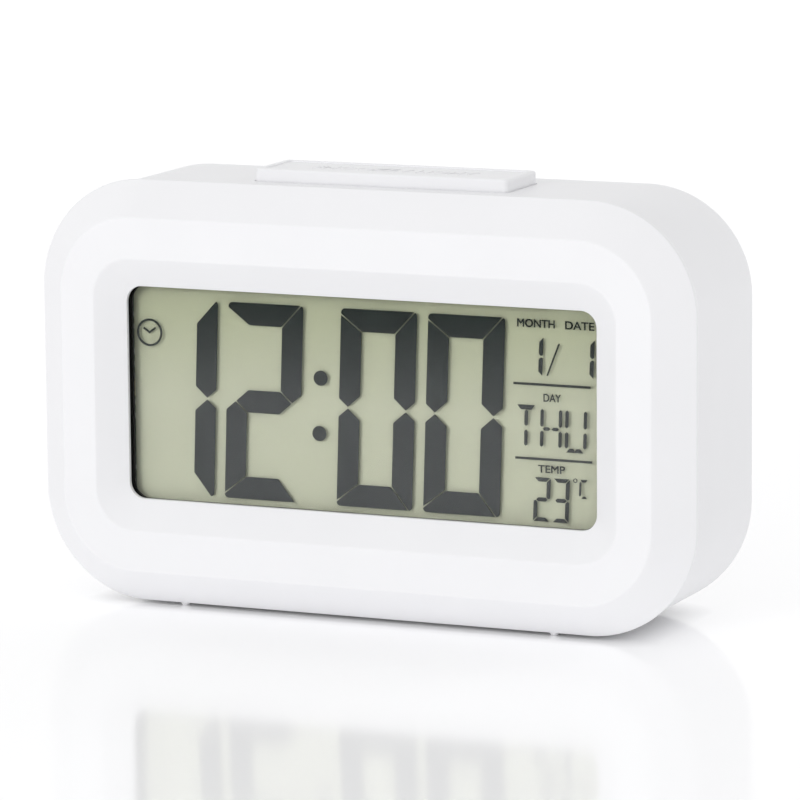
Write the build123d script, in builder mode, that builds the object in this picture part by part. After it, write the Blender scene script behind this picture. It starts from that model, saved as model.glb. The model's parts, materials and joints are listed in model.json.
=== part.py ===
from build123d import *
import os
from math import atan, degrees, radians, tan

# A battery alarm clock with a liquid crystal display, in millimetres.
# X runs to the right, Y to the rear and Z up; the origin lies on the table under the clock's middle.

# Case: the bezel's outer edge gives the width and height, the flat ring and the back give the depth
case_width = 135.0
case_height = 82.4
case_depth = 43.5
corner_radius = 21.5
wall = 2.0
back_wall = 2.2
rear_rounding = 7.0
housing_step = 0.65
fit_gap = 0.2
overrun = 1.0

# Front bezel: sloping border, flat ring, funnel and window
bevel_inset = 6.8
bevel_depth = 6.1
rim_thickness = 2.4
rim_draw = 0.55
rim_rounding = 0.4
ring_side = 6.9
ring_top = 7.9
ring_rounding = 0.7
funnel_radius = 7.8
funnel_side = 5.3
funnel_top = 5.75
window_radius = 3.2
window_recess = 3.8
lip_thickness = 0.8
bezel_wall = 2.0
skirt_length = 3.0
skirt_wall = 1.4
locating_wall = 1.5

# Feet: small moulded nubs, two on the bezel's rim and two on the housing
foot_height = 0.6
foot_inset = 29.0
foot_tip_radius = 0.6
foot_root_radius = 1.05
foot_root_depth = 0.8
foot_rounding = 0.2
rear_foot_setback = 4.0

# Display stack, from the lens to the main board
lens_thickness = 0.8
lens_side_overlap = 4.0
lens_top_overlap = 5.4
lens_radius = 3.0
gasket_thickness = 0.5
gasket_side_reach = 0.45
gasket_top_setback = 0.15
frame_wall = 1.8
glass_thickness = 0.7
contact_ledge = 2.6
segment_thickness = 0.1
layer_gap = 0.05
guide_thickness = 2.5
led_width = 1.6
led_height = 3.0
led_depth = 2.0
led_rounding = 0.3
zebra_inset = 5.35
zebra_thickness = 1.8

# Large digits: seven mitred segments each, leaning a little to the right, set out in shares of the window
digit_width_share = 0.1644
digit_height_share = 0.9253
digit_pitch_share = 0.1851
digits_right_share = 0.2947
digits_drop_share = 0.02
colon_space_share = 0.0579
colon_spacing_share = 0.2578
colon_radius = 1.45
digit_stroke = 4.6
digit_slant_degrees = 2.1
segment_gap = 0.28
segment_rounding = 0.8
waist_reach = 2.0
waist_shoulder = 1.7
top_left_mitre = 1.2
top_right_mitre = 0.5
bottom_left_mitre = 1.0
bottom_right_mitre = 0.8

# Main board and what is soldered to it
board_side_inset = 2.35
board_thickness = 1.6
board_radius = 2.0
board_edge = 2.2
board_screw_side = 10.0
board_post_radius = 2.2
board_post_gap = 0.25
board_screw_radius = 0.9
board_screw_length = 5.0
board_screw_head_radius = 1.8
board_screw_head_height = 1.2
screw_slack = 0.05
chip_radius = 7.0
chip_height = 1.6
chip_crown_share = 0.85
chip_drop = 4.0
crystal_radius = 1.0
crystal_length = 6.0
crystal_side = 26.0
crystal_edge = 14.5
crystal_leg_width = 0.5
crystal_leg_reach = 1.2
thermistor_radius = 1.3
thermistor_bead = 2.6
thermistor_leg = 3.0
thermistor_leg_radius = 0.25
thermistor_leg_spacing = 1.4
thermistor_side = 6.0
thermistor_edge = 5.5
thermistor_rounding = 0.9

# Case screws, in towers of the housing, biting into posts of the bezel
case_screw_out = 2.25
case_post_radius = 3.3
tower_radius = 3.5
tower_depth = 5.6
screw_seat = 2.5
case_screw_radius = 1.3
case_screw_bite = 8.0
case_screw_head_radius = 2.3
case_screw_head_height = 1.8
screw_well_slack = 0.3
cross_width = 0.7
cross_depth = 0.8
cross_length_share = 1.2
post_root = 0.5

# Snooze bar and its switch
bar_length = 52.4
bar_depth = 15.0
bar_setback = 6.35
bar_proud = 2.5
bar_corner = 1.0
bar_edge_rounding = 0.5
bar_dish_margin = 1.5
bar_dish_corner = 0.8
bar_dish_depth = 0.25
bar_gap = 0.3
bar_flange = 1.2
bar_flange_thickness = 1.2
bar_travel = 1.0
bar_post_radius = 1.9
snooze_switch_width = 7.0
snooze_switch_height = 5.0
snooze_switch_depth = 7.0
snooze_switch_drop = 1.5
snooze_axis_out = 4.6
snooze_plunger_radius = 1.5
snooze_plunger_proud = 1.8
snooze_plunger_hidden = 1.6
plunger_gap = 0.15

# Rear buttons and the small board behind them
button_names = ["mode", "set", "up", "down", "alarm"]
button_pitch = 13.0
button_radius = 3.5
button_proud = 1.0
button_rounding = 0.5
button_gap = 0.3
button_flange = 1.1
button_flange_thickness = 1.0
button_stem_radius = 1.6
button_stem_length = 0.4
tact_width = 6.0
tact_height = 3.5
tact_plunger_radius = 1.5
tact_plunger_proud = 1.4
tact_plunger_hidden = 1.0
tact_travel = 0.5
key_board_margin = 1.2
key_board_height = 11.0
key_board_gap = 0.4
key_board_thickness = 1.6
key_boss_radius = 2.4
key_boss_gap = 0.6

# Alarm slide switch
alarm_switch_gap = 1.5
alarm_switch_width = 9.0
alarm_switch_height = 5.0
alarm_switch_depth = 3.7
alarm_travel = 3.0
knob_width = 4.0
knob_height = 4.6
knob_proud = 0.8
knob_rounding = 0.35
knob_gap = 0.3
knob_flange = 1.2
knob_flange_thickness = 0.8
knob_stem = 1.6
knob_stem_hidden = 1.0
knob_groove = 0.5
knob_groove_depth = 0.3
knob_groove_pitch = 1.1
knob_groove_count = 3

# Buzzer: a brass disc with a ceramic element, over the sound holes
buzzer_drop = 6.0
buzzer_radius = 10.0
buzzer_thickness = 0.3
element_radius = 7.0
element_thickness = 0.25
buzzer_ring_height = 2.5
buzzer_ring_wall = 1.4
sound_hole_radius = 0.8
sound_hole_circle = 4.2
sound_hole_count = 6

# Batteries: three AAA cells side by side, lying along X
cell_radius = 5.25
cell_length = 44.5
cell_nub_radius = 1.9
cell_nub_height = 0.9
cell_rounding = 0.4
cell_count = 3
cell_spacing = 1.0
cell_gap = 0.5
cell_depth_gap = 0.3
contact_thickness = 0.5
contact_width = 8.0
contact_depth = 8.4
spring_room = 4.0
spring_strip = 0.3
spring_width = 5.0
spring_half_depth = 3.4
spring_free_end = 0.7
tail_width = 3.0
tail_reach = 2.0

# Battery bay and its hinged door
door_thickness = 1.8
door_gap = 0.3
door_ledge = 1.25
door_drop = 9.0
bay_wall = 2.2
bay_floor = 1.5
hinge_radius = 1.3
hinge_zone = 3.2
hinge_pin_radius = 0.8
hinge_pin_length = 1.5
hinge_pin_gap = 0.08
hinge_end_gap = 0.2
tongue_width = 14.0
tongue_length = 9.0
tongue_slot = 0.8
latch_width = 8.0
latch_nose = 0.15
grip_count = 3
grip_pitch = 1.8
grip_height = 0.7
grip_proud = 0.35
grip_width = 9.0
grip_round_share = 0.45

# Ribbon cable and leads
ribbon_width = 10.0
ribbon_thickness = 0.6
ribbon_x = -14.0
ribbon_sag_share = 0.2
ribbon_run_share = 0.23
ribbon_bend_share = 0.08
lead_radius = 0.6
lead_run_share = 0.27
lead_bend_share = 0.22
lead_shift = 5.0
buzzer_lead_radius = 0.5
buzzer_lead_run_share = 0.28
buzzer_lead_bend_share = 0.2
buzzer_lead_spread = 5.0
buzzer_lead_shift = 6.0
buzzer_lead_edge = 4.0

# Heights and depths that follow from the sizes above
overall_depth = case_depth + button_proud
mid_z = foot_height + case_height / 2
ring_y = -overall_depth / 2
edge_y = ring_y + bevel_depth
rim_y = edge_y + rim_thickness
back_y = ring_y + case_depth
back_in_y = back_y - back_wall
lip_y = ring_y + window_recess
seat_y = lip_y + lip_thickness
lens_back_y = seat_y + lens_thickness
gasket_back_y = lens_back_y + gasket_thickness
ledge_y = gasket_back_y + glass_thickness
segment_back_y = ledge_y + layer_gap + segment_thickness
rear_glass_back_y = segment_back_y + layer_gap + glass_thickness
board_y = rear_glass_back_y + layer_gap + guide_thickness
board_back_y = board_y + board_thickness
tower_y = rim_y + tower_depth
screw_head_y = tower_y + screw_seat
skirt_inset = housing_step + wall + fit_gap
cavity_inset = skirt_inset + skirt_wall
cavity_front_y = ring_y + bezel_wall
cavity_front_inset = cavity_inset + (bevel_depth - bezel_wall) * bevel_inset / bevel_depth
bevel_taper = degrees(atan(bevel_inset / bevel_depth))
foot_x = case_width / 2 - foot_inset
foot_xs = [-foot_x, foot_x]
front_foot_y = edge_y + rim_thickness / 2
rear_foot_y = back_y - rear_rounding - rear_foot_setback

# Widths that follow from the sizes above
funnel_width = case_width - 2 * (bevel_inset + ring_side)
funnel_height = case_height - 2 * (bevel_inset + ring_top)
window_width = funnel_width - 2 * funnel_side
window_height = funnel_height - 2 * funnel_top
lens_width = window_width + 2 * lens_side_overlap
lens_height = window_height + 2 * lens_top_overlap
pocket_width = lens_width + 2 * fit_gap
pocket_height = lens_height + 2 * fit_gap
stack_width = lens_width - 2 * (frame_wall + fit_gap)
stack_height = lens_height - 2 * (frame_wall + fit_gap)
rear_glass_height = stack_height - 2 * contact_ledge
guide_width = stack_width - 2 * (led_width + fit_gap)
board_width = lens_width - 2 * board_side_inset
board_screw_rise = pocket_height / 2 + locating_wall + board_post_gap + board_post_radius
board_height = 2 * (board_screw_rise + board_edge)
crystal_x = board_width / 2 - crystal_side
crystal_drop = board_height / 2 - crystal_edge
thermistor_x = thermistor_side - board_width / 2
thermistor_drop = board_height / 2 - thermistor_edge
digit_width = window_width * digit_width_share
digit_height = window_height * digit_height_share
digit_pitch = window_width * digit_pitch_share
digits_right = window_width * digits_right_share
digits_drop = window_height * digits_drop_share
colon_space = window_width * colon_space_share
colon_spacing = window_height * colon_spacing_share

# Places on the back, measured from the middle of the case
half_housing = case_height / 2 - housing_step
housing_top = mid_z + half_housing
cell_pitch = 2 * cell_radius + cell_spacing
bay_width = cell_length + spring_room + 2 * contact_thickness
bay_height = (cell_count - 1) * cell_pitch + 2 * (cell_radius + cell_gap)
door_width = bay_width + 2 * door_ledge
door_height = bay_height + door_ledge + hinge_zone
door_bottom = -door_drop - door_height / 2
door_top = door_bottom + door_height
bay_middle = door_bottom + hinge_zone + bay_height / 2
door_in_y = back_y - door_thickness
door_seat_y = door_in_y - door_gap
cell_y = door_seat_y - cell_depth_gap - cell_radius
bay_floor_y = cell_y - cell_radius - cell_depth_gap
bay_front_y = bay_floor_y - bay_floor
hinge_y = back_y - hinge_radius
hinge_z = door_bottom + hinge_radius
opening_width = door_width + 2 * door_gap
opening_height = door_height + 2 * door_gap
tail_tip_y = bay_front_y - tail_reach
buzzer_x = -(opening_width / 2 + bay_wall + case_width / 2 - housing_step - wall) / 2
cell_places = [bay_middle + (row - (cell_count - 1) / 2) * cell_pitch for row in range(cell_count)]

# Depths of the rear buttons, from the back wall in
flange_back_y = back_in_y - fit_gap
flange_front_y = flange_back_y - button_flange_thickness
plunger_tip_y = flange_front_y - button_stem_length
tact_top_y = plunger_tip_y - tact_plunger_proud
key_board_y = tact_top_y - tact_height
key_board_front_y = key_board_y - key_board_thickness
button_rise = door_top + door_gap + bay_wall + key_board_gap + key_board_height / 2
button_middle = (len(button_names) - 1) / 2
button_places = [((place - button_middle) * button_pitch, button_rise) for place in range(len(button_names))]
button_span = button_middle * button_pitch + button_radius + button_flange
key_boss_x = button_span + key_boss_gap + key_boss_radius
alarm_switch_x = key_boss_x + key_boss_radius + alarm_switch_gap + alarm_switch_width / 2
key_board_left = -key_boss_x - key_boss_radius - key_board_margin
key_board_right = alarm_switch_x + alarm_switch_width / 2 + key_board_margin

# Heights of the snooze parts
bar_y = rim_y + bar_setback + bar_depth / 2
bar_top_z = housing_top + bar_proud
flange_top_z = housing_top - wall - bar_gap
flange_low_z = flange_top_z - bar_flange_thickness
snooze_switch_top = mid_z + board_height / 2 - snooze_switch_drop
snooze_tip_z = snooze_switch_top + snooze_plunger_proud
snooze_y = board_back_y + snooze_axis_out

# Places of the screws, as seen from the front
case_screw_places = [
    (x * (lens_width / 2 + case_screw_out), z * (lens_height / 2 + case_screw_out))
    for x in (-1, 1)
    for z in (-1, 1)
]
board_screw_places = [
    (x * (board_width / 2 - board_screw_side), z * board_screw_rise) for x in (-1, 1) for z in (-1, 1)
]
key_screw_places = [(-key_boss_x, button_rise), (key_boss_x, button_rise)]
on_table = (Align.CENTER, Align.CENTER, Align.MIN)


def upright(y):
    """A drawing plane that faces the front at depth y, with its middle at mid height."""
    return Plane(origin=(0, y, mid_z), x_dir=(1, 0, 0), z_dir=(0, -1, 0))


def outline(inset, mode=Mode.ADD):
    """The rounded outline of the case, drawn in by an inset."""
    return RectangleRounded(
        case_width - 2 * inset, case_height - 2 * inset, corner_radius - inset, mode=mode
    )


def screws(places, seat_y, radius, bite, head_radius, head_height):
    """Cross-head screws that point to the front, with their heads seated at seat_y."""
    with BuildPart() as group:
        with BuildSketch(upright(seat_y)):
            with Locations(*places):
                Circle(radius)
        extrude(amount=bite)
        with BuildSketch(upright(seat_y + head_height)):
            with Locations(*places):
                Circle(head_radius)
        extrude(amount=head_height)
        with BuildSketch(upright(seat_y + head_height)):
            with Locations(*places):
                Rectangle(head_radius * cross_length_share, cross_width)
                Rectangle(cross_width, head_radius * cross_length_share)
        extrude(amount=cross_depth, mode=Mode.SUBTRACT)
    return group


def wire(points, radius, bend):
    """An insulated lead: a round section swept along straight runs joined by arcs."""
    with BuildPart() as lead:
        with BuildLine() as path:
            FilletPolyline(*points, radius=bend)
        with BuildSketch(Plane(origin=path.line @ 0, z_dir=path.line % 0)):
            Circle(radius)
        sweep(path=path.line)
    return lead


os.makedirs("parts", exist_ok=True)

# Front bezel: hollow behind its sloping border, with posts for the case screws and the main board
with BuildPart() as front_bezel:
    with BuildSketch(upright(rim_y)):
        outline(rim_draw)
    with BuildSketch(upright(edge_y)):
        outline(0)
    loft(ruled=True)
    with BuildSketch(upright(edge_y)):
        outline(0)
    extrude(amount=bevel_depth, taper=bevel_taper)
    fillet(front_bezel.edges().group_by(Axis.Y)[2], rim_rounding)
    with BuildSketch(upright(edge_y)):
        outline(cavity_inset)
    with BuildSketch(upright(cavity_front_y)):
        outline(cavity_front_inset)
    loft(ruled=True, mode=Mode.SUBTRACT)
    with BuildSketch(upright(rim_y)):
        outline(cavity_inset)
    extrude(amount=rim_thickness, mode=Mode.SUBTRACT)
    with BuildSketch(upright(rim_y)):
        RectangleRounded(
            pocket_width + 2 * locating_wall, pocket_height + 2 * locating_wall, lens_radius + locating_wall
        )
    extrude(amount=rim_y - cavity_front_y + post_root)
    with BuildSketch(upright(rim_y)):
        RectangleRounded(pocket_width, pocket_height, lens_radius)
    extrude(amount=rim_y - seat_y, mode=Mode.SUBTRACT)
    with BuildSketch(upright(ring_y)):
        RectangleRounded(funnel_width, funnel_height, funnel_radius)
    with BuildSketch(upright(lip_y)):
        RectangleRounded(window_width, window_height, window_radius)
    loft(ruled=True, mode=Mode.SUBTRACT)
    with BuildSketch(upright(seat_y)):
        RectangleRounded(window_width, window_height, window_radius)
    extrude(amount=lip_thickness, mode=Mode.SUBTRACT)
    fillet(front_bezel.edges().group_by(Axis.Y)[0], ring_rounding)
    with BuildSketch(upright(rim_y + skirt_length)):
        outline(skirt_inset)
        outline(cavity_inset, mode=Mode.SUBTRACT)
    extrude(amount=skirt_length)
    with BuildSketch(upright(tower_y)):
        with Locations(*case_screw_places):
            Circle(case_post_radius)
    extrude(amount=tower_y - cavity_front_y + post_root)
    with BuildSketch(upright(board_y)):
        with Locations(*board_screw_places):
            Circle(board_post_radius)
    extrude(amount=board_y - cavity_front_y + post_root)
    with BuildSketch(upright(tower_y)):
        with Locations(*case_screw_places):
            Circle(case_screw_radius + screw_slack)
    extrude(amount=case_screw_bite + overrun, mode=Mode.SUBTRACT)
    with BuildSketch(upright(board_y)):
        with Locations(*board_screw_places):
            Circle(board_screw_radius + screw_slack)
    extrude(amount=board_screw_length, mode=Mode.SUBTRACT)
    with Locations(*[(x, front_foot_y, 0) for x in foot_xs]):
        Cone(foot_tip_radius, foot_root_radius, foot_height, align=on_table)
    with Locations(*[(x, front_foot_y, foot_height) for x in foot_xs]):
        Cylinder(foot_root_radius, foot_root_depth, align=on_table)
    fillet(front_bezel.edges().group_by(Axis.Z)[0], foot_rounding)
front_bezel.part.label = "front_bezel"
export_step(front_bezel.part, "parts/front_bezel.step")

# Clear lens in the bezel's pocket, against the window's lip
with BuildPart() as display_lens:
    with BuildSketch(upright(lens_back_y)):
        RectangleRounded(lens_width, lens_height, lens_radius)
    extrude(amount=lens_thickness)
display_lens.part.label = "display_lens"
export_step(display_lens.part, "parts/display_lens.step")

# Black foam gasket between the lens and the display, seen as the window's dark border
with BuildPart() as display_gasket:
    with BuildSketch(upright(gasket_back_y)):
        Rectangle(stack_width, stack_height)
        RectangleRounded(
            window_width - 2 * gasket_side_reach,
            window_height + 2 * gasket_top_setback,
            window_radius,
            mode=Mode.SUBTRACT,
        )
    extrude(amount=gasket_thickness)
display_gasket.part.label = "display_gasket"
export_step(display_gasket.part, "parts/display_gasket.step")

# Display: front glass with its contact ledges, dark segments and rear glass
with BuildPart() as lcd_front_glass:
    with BuildSketch(upright(ledge_y)):
        Rectangle(stack_width, stack_height)
    extrude(amount=glass_thickness)
lcd_front_glass.part.label = "lcd_front_glass"
export_step(lcd_front_glass.part, "parts/lcd_front_glass.step")

left_in = digit_stroke
right_in = digit_width - digit_stroke
top_in = digit_height - digit_stroke
waist = digit_height / 2
waist_high = waist + digit_stroke / 2
waist_low = waist - digit_stroke / 2
top_left = (0, digit_height - top_left_mitre)
top_right = (digit_width - top_right_mitre, digit_height)
low_left = (0, bottom_left_mitre)
low_right = (digit_width - bottom_right_mitre, 0)
waist_left = (waist_reach, waist)
waist_right = (digit_width - waist_reach, waist)
segment_points = {
    "a": [(0, digit_height), top_right, (right_in, top_in), (left_in, top_in), top_left],
    "b": [
        (digit_width, digit_height),
        (digit_width, waist + waist_shoulder),
        waist_right,
        (right_in, waist_high),
        (right_in, top_in),
        top_right,
    ],
    "c": [
        (digit_width, 0),
        low_right,
        (right_in, digit_stroke),
        (right_in, waist_low),
        waist_right,
        (digit_width, waist - waist_shoulder),
    ],
    "d": [(0, 0), low_left, (left_in, digit_stroke), (right_in, digit_stroke), low_right],
    "e": [(0, waist - waist_shoulder), waist_left, (left_in, waist_low), (left_in, digit_stroke), low_left],
    "f": [(0, waist + waist_shoulder), top_left, (left_in, top_in), (left_in, waist_high), waist_left],
    "g": [
        waist_left,
        (left_in, waist_high),
        (right_in, waist_high),
        waist_right,
        (right_in, waist_low),
        (left_in, waist_low),
    ],
}
digit_corners = [(0, 0), (digit_width, 0), (digit_width, digit_height), (0, digit_height)]
digit_segments = {"1": "bc", "2": "abdeg", "0": "abcdef"}
last_digit = digits_right - digit_width
third_digit = last_digit - digit_pitch
second_digit = third_digit - digit_pitch - colon_space
first_digit = second_digit - digit_pitch
shown_digits = [("1", first_digit), ("2", second_digit), ("0", third_digit), ("0", last_digit)]
lean = tan(radians(digit_slant_degrees))
colon_x = (second_digit + digit_width + third_digit) / 2


def on_display(left, points):
    """Points of a digit, leaned over and moved to the digit's place on the display."""
    return [(left + x + (z - waist) * lean, z - waist - digits_drop) for x, z in points]


with BuildPart() as lcd_segments:
    for figure, left in shown_digits:
        with BuildSketch(mode=Mode.PRIVATE) as digit_outline:
            with BuildLine():
                Polyline(*on_display(left, digit_corners), close=True)
            make_face()
            offset(amount=-segment_gap / 2, kind=Kind.INTERSECTION)
            fillet(digit_outline.vertices(), segment_rounding)
        for segment in digit_segments[figure]:
            with BuildSketch(upright(segment_back_y)):
                with BuildLine():
                    Polyline(*on_display(left, segment_points[segment]), close=True)
                make_face()
                offset(amount=-segment_gap / 2, kind=Kind.INTERSECTION)
                add(digit_outline.sketch_local, mode=Mode.INTERSECT)
    with BuildSketch(upright(segment_back_y)):
        for rise in (-colon_spacing / 2, colon_spacing / 2):
            with Locations((colon_x + rise * lean, rise - digits_drop)):
                Circle(colon_radius)
    extrude(amount=segment_thickness)
lcd_segments.part.label = "lcd_segments"
export_step(lcd_segments.part, "parts/lcd_segments.step")

with BuildPart() as lcd_rear_glass:
    with BuildSketch(upright(rear_glass_back_y)):
        Rectangle(stack_width, rear_glass_height)
    extrude(amount=glass_thickness)
lcd_rear_glass.part.label = "lcd_rear_glass"
export_step(lcd_rear_glass.part, "parts/lcd_rear_glass.step")

# Light guide with its reflecting face, and an LED at each end of it
with BuildPart() as light_guide:
    with BuildSketch(upright(board_y)):
        Rectangle(guide_width, rear_glass_height)
    extrude(amount=guide_thickness)
light_guide.part.label = "light_guide"
export_step(light_guide.part, "parts/light_guide.step")

led_x = guide_width / 2 + fit_gap + led_width / 2
with BuildPart() as backlight_leds:
    with BuildSketch(upright(board_y)):
        with Locations((-led_x, 0), (led_x, 0)):
            Rectangle(led_width, led_height)
    extrude(amount=led_depth)
    fillet(backlight_leds.edges().group_by(Axis.Y)[0], led_rounding)
backlight_leds.part.label = "backlight_leds"
export_step(backlight_leds.part, "parts/backlight_leds.step")

# Zebra strips carry the contacts from the glass ledges to the main board
zebra_rise = rear_glass_height / 2 + contact_ledge / 2
with BuildPart() as zebra_strips:
    with BuildSketch(upright(board_y)):
        with Locations((0, -zebra_rise), (0, zebra_rise)):
            Rectangle(stack_width - 2 * zebra_inset, zebra_thickness)
    extrude(amount=board_y - ledge_y)
zebra_strips.part.label = "zebra_strips"
export_step(zebra_strips.part, "parts/zebra_strips.step")

# Frame that holds the display stack between the lens and the main board
with BuildPart() as display_frame:
    with BuildSketch(upright(board_y)):
        RectangleRounded(lens_width, lens_height, lens_radius)
        Rectangle(stack_width + 2 * fit_gap, stack_height + 2 * fit_gap, mode=Mode.SUBTRACT)
    extrude(amount=board_y - lens_back_y)
display_frame.part.label = "display_frame"
export_step(display_frame.part, "parts/display_frame.step")

# Main board, screwed to four posts of the bezel
with BuildPart() as main_board:
    with BuildSketch(upright(board_back_y)):
        RectangleRounded(board_width, board_height, board_radius)
        with Locations(*board_screw_places):
            Circle(board_screw_radius + fit_gap, mode=Mode.SUBTRACT)
    extrude(amount=board_thickness)
main_board.part.label = "main_board"
export_step(main_board.part, "parts/main_board.step")

board_screws = screws(
    board_screw_places,
    board_back_y,
    board_screw_radius,
    board_screw_length,
    board_screw_head_radius,
    board_screw_head_height,
)
board_screws.part.label = "board_screws"
export_step(board_screws.part, "parts/board_screws.step")

# Bonded chip under a drop of epoxy
with BuildPart() as control_chip:
    with BuildSketch(upright(board_back_y + chip_height)):
        with Locations((0, -chip_drop)):
            Circle(chip_radius)
    extrude(amount=chip_height)
    fillet(control_chip.edges().group_by(Axis.Y)[-1], chip_height * chip_crown_share)
control_chip.part.label = "control_chip"
export_step(control_chip.part, "parts/control_chip.step")

# Quartz crystal: a small can lying on its two legs
crystal_y = board_back_y + crystal_radius + fit_gap
crystal_z = mid_z - crystal_drop
with BuildPart() as quartz_crystal:
    with BuildSketch(Plane(origin=(crystal_x, crystal_y, crystal_z), z_dir=(1, 0, 0))):
        Circle(crystal_radius)
    extrude(amount=crystal_length)
    with BuildSketch(upright(crystal_y)):
        with Locations((crystal_x - crystal_leg_reach / 2, -crystal_drop)):
            with GridLocations(0, crystal_radius, 1, 2):
                Rectangle(crystal_leg_reach, crystal_leg_width)
    extrude(amount=crystal_leg_width / 2, both=True)
    with BuildSketch(upright(crystal_y)):
        with Locations((crystal_x - crystal_leg_reach + crystal_leg_width / 2, -crystal_drop)):
            with GridLocations(0, crystal_radius, 1, 2):
                Rectangle(crystal_leg_width, crystal_leg_width)
    extrude(amount=crystal_y - board_back_y)
quartz_crystal.part.label = "quartz_crystal"
export_step(quartz_crystal.part, "parts/quartz_crystal.step")

# Thermistor: a bead on two wire legs
with BuildPart() as thermistor:
    with BuildSketch(upright(board_back_y + thermistor_leg + thermistor_bead)):
        with Locations((thermistor_x, -thermistor_drop)):
            Circle(thermistor_radius)
    extrude(amount=thermistor_bead)
    fillet(thermistor.edges().filter_by(GeomType.CIRCLE), thermistor_rounding)
    with BuildSketch(upright(board_back_y + thermistor_leg + thermistor_bead / 2)):
        with Locations((thermistor_x, -thermistor_drop)):
            with GridLocations(thermistor_leg_spacing, 0, 2, 1):
                Circle(thermistor_leg_radius)
    extrude(amount=thermistor_leg + thermistor_bead / 2)
thermistor.part.label = "thermistor"
export_step(thermistor.part, "parts/thermistor.step")

# Snooze switch on the main board's upper edge, its plunger, and the bar that presses it
with BuildPart() as snooze_switch:
    with BuildSketch(Plane.XY.offset(snooze_switch_top)):
        with Locations((0, board_back_y + snooze_switch_depth / 2)):
            Rectangle(snooze_switch_width, snooze_switch_depth)
    extrude(amount=-snooze_switch_height)
    with BuildSketch(Plane.XY.offset(snooze_switch_top)):
        with Locations((0, snooze_y)):
            Circle(snooze_plunger_radius + plunger_gap)
    extrude(amount=-(snooze_plunger_hidden + bar_travel + fit_gap), mode=Mode.SUBTRACT)
snooze_switch.part.label = "snooze_switch"
export_step(snooze_switch.part, "parts/snooze_switch.step")

with BuildPart() as snooze_plunger:
    with BuildSketch(Plane.XY.offset(snooze_tip_z)):
        with Locations((0, snooze_y)):
            Circle(snooze_plunger_radius)
    extrude(amount=-(snooze_plunger_proud + snooze_plunger_hidden))
snooze_plunger.part.label = "snooze_plunger"
export_step(snooze_plunger.part, "parts/snooze_plunger.step")

with BuildPart() as snooze_bar:
    with BuildSketch(Plane.XY.offset(flange_low_z)):
        with Locations((0, bar_y)):
            RectangleRounded(bar_length, bar_depth, bar_corner)
    extrude(amount=bar_top_z - flange_low_z)
    fillet(snooze_bar.edges().group_by(Axis.Z)[-1], bar_edge_rounding)
    with BuildSketch(Plane.XY.offset(flange_low_z)):
        with Locations((0, bar_y)):
            RectangleRounded(bar_length + 2 * bar_flange, bar_depth + 2 * bar_flange, bar_corner + bar_flange)
    extrude(amount=bar_flange_thickness)
    with BuildSketch(Plane.XY.offset(flange_low_z)):
        with Locations((0, bar_y)):
            Rectangle(bar_length - 2 * wall, bar_depth - 2 * wall)
    extrude(amount=bar_top_z - wall - flange_low_z, mode=Mode.SUBTRACT)
    with BuildSketch(Plane.XY.offset(bar_top_z)):
        with Locations((0, bar_y)):
            RectangleRounded(
                bar_length - 2 * bar_dish_margin, bar_depth - 2 * bar_dish_margin, bar_dish_corner
            )
    extrude(amount=-bar_dish_depth, mode=Mode.SUBTRACT)
    with BuildSketch(Plane.XY.offset(snooze_tip_z)):
        with Locations((0, snooze_y)):
            Circle(bar_post_radius)
    extrude(amount=flange_top_z - snooze_tip_z)
snooze_bar.part.label = "snooze_bar"
export_step(snooze_bar.part, "parts/snooze_bar.step")

# Rear housing: shell, battery bay, screw towers, bosses, holes and feet
with BuildPart() as housing_core:
    with BuildSketch(upright(back_in_y)):
        outline(housing_step + wall)
    extrude(amount=back_in_y - rim_y + overrun)
    fillet(housing_core.edges().group_by(Axis.Y)[-1], rear_rounding - wall)

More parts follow.
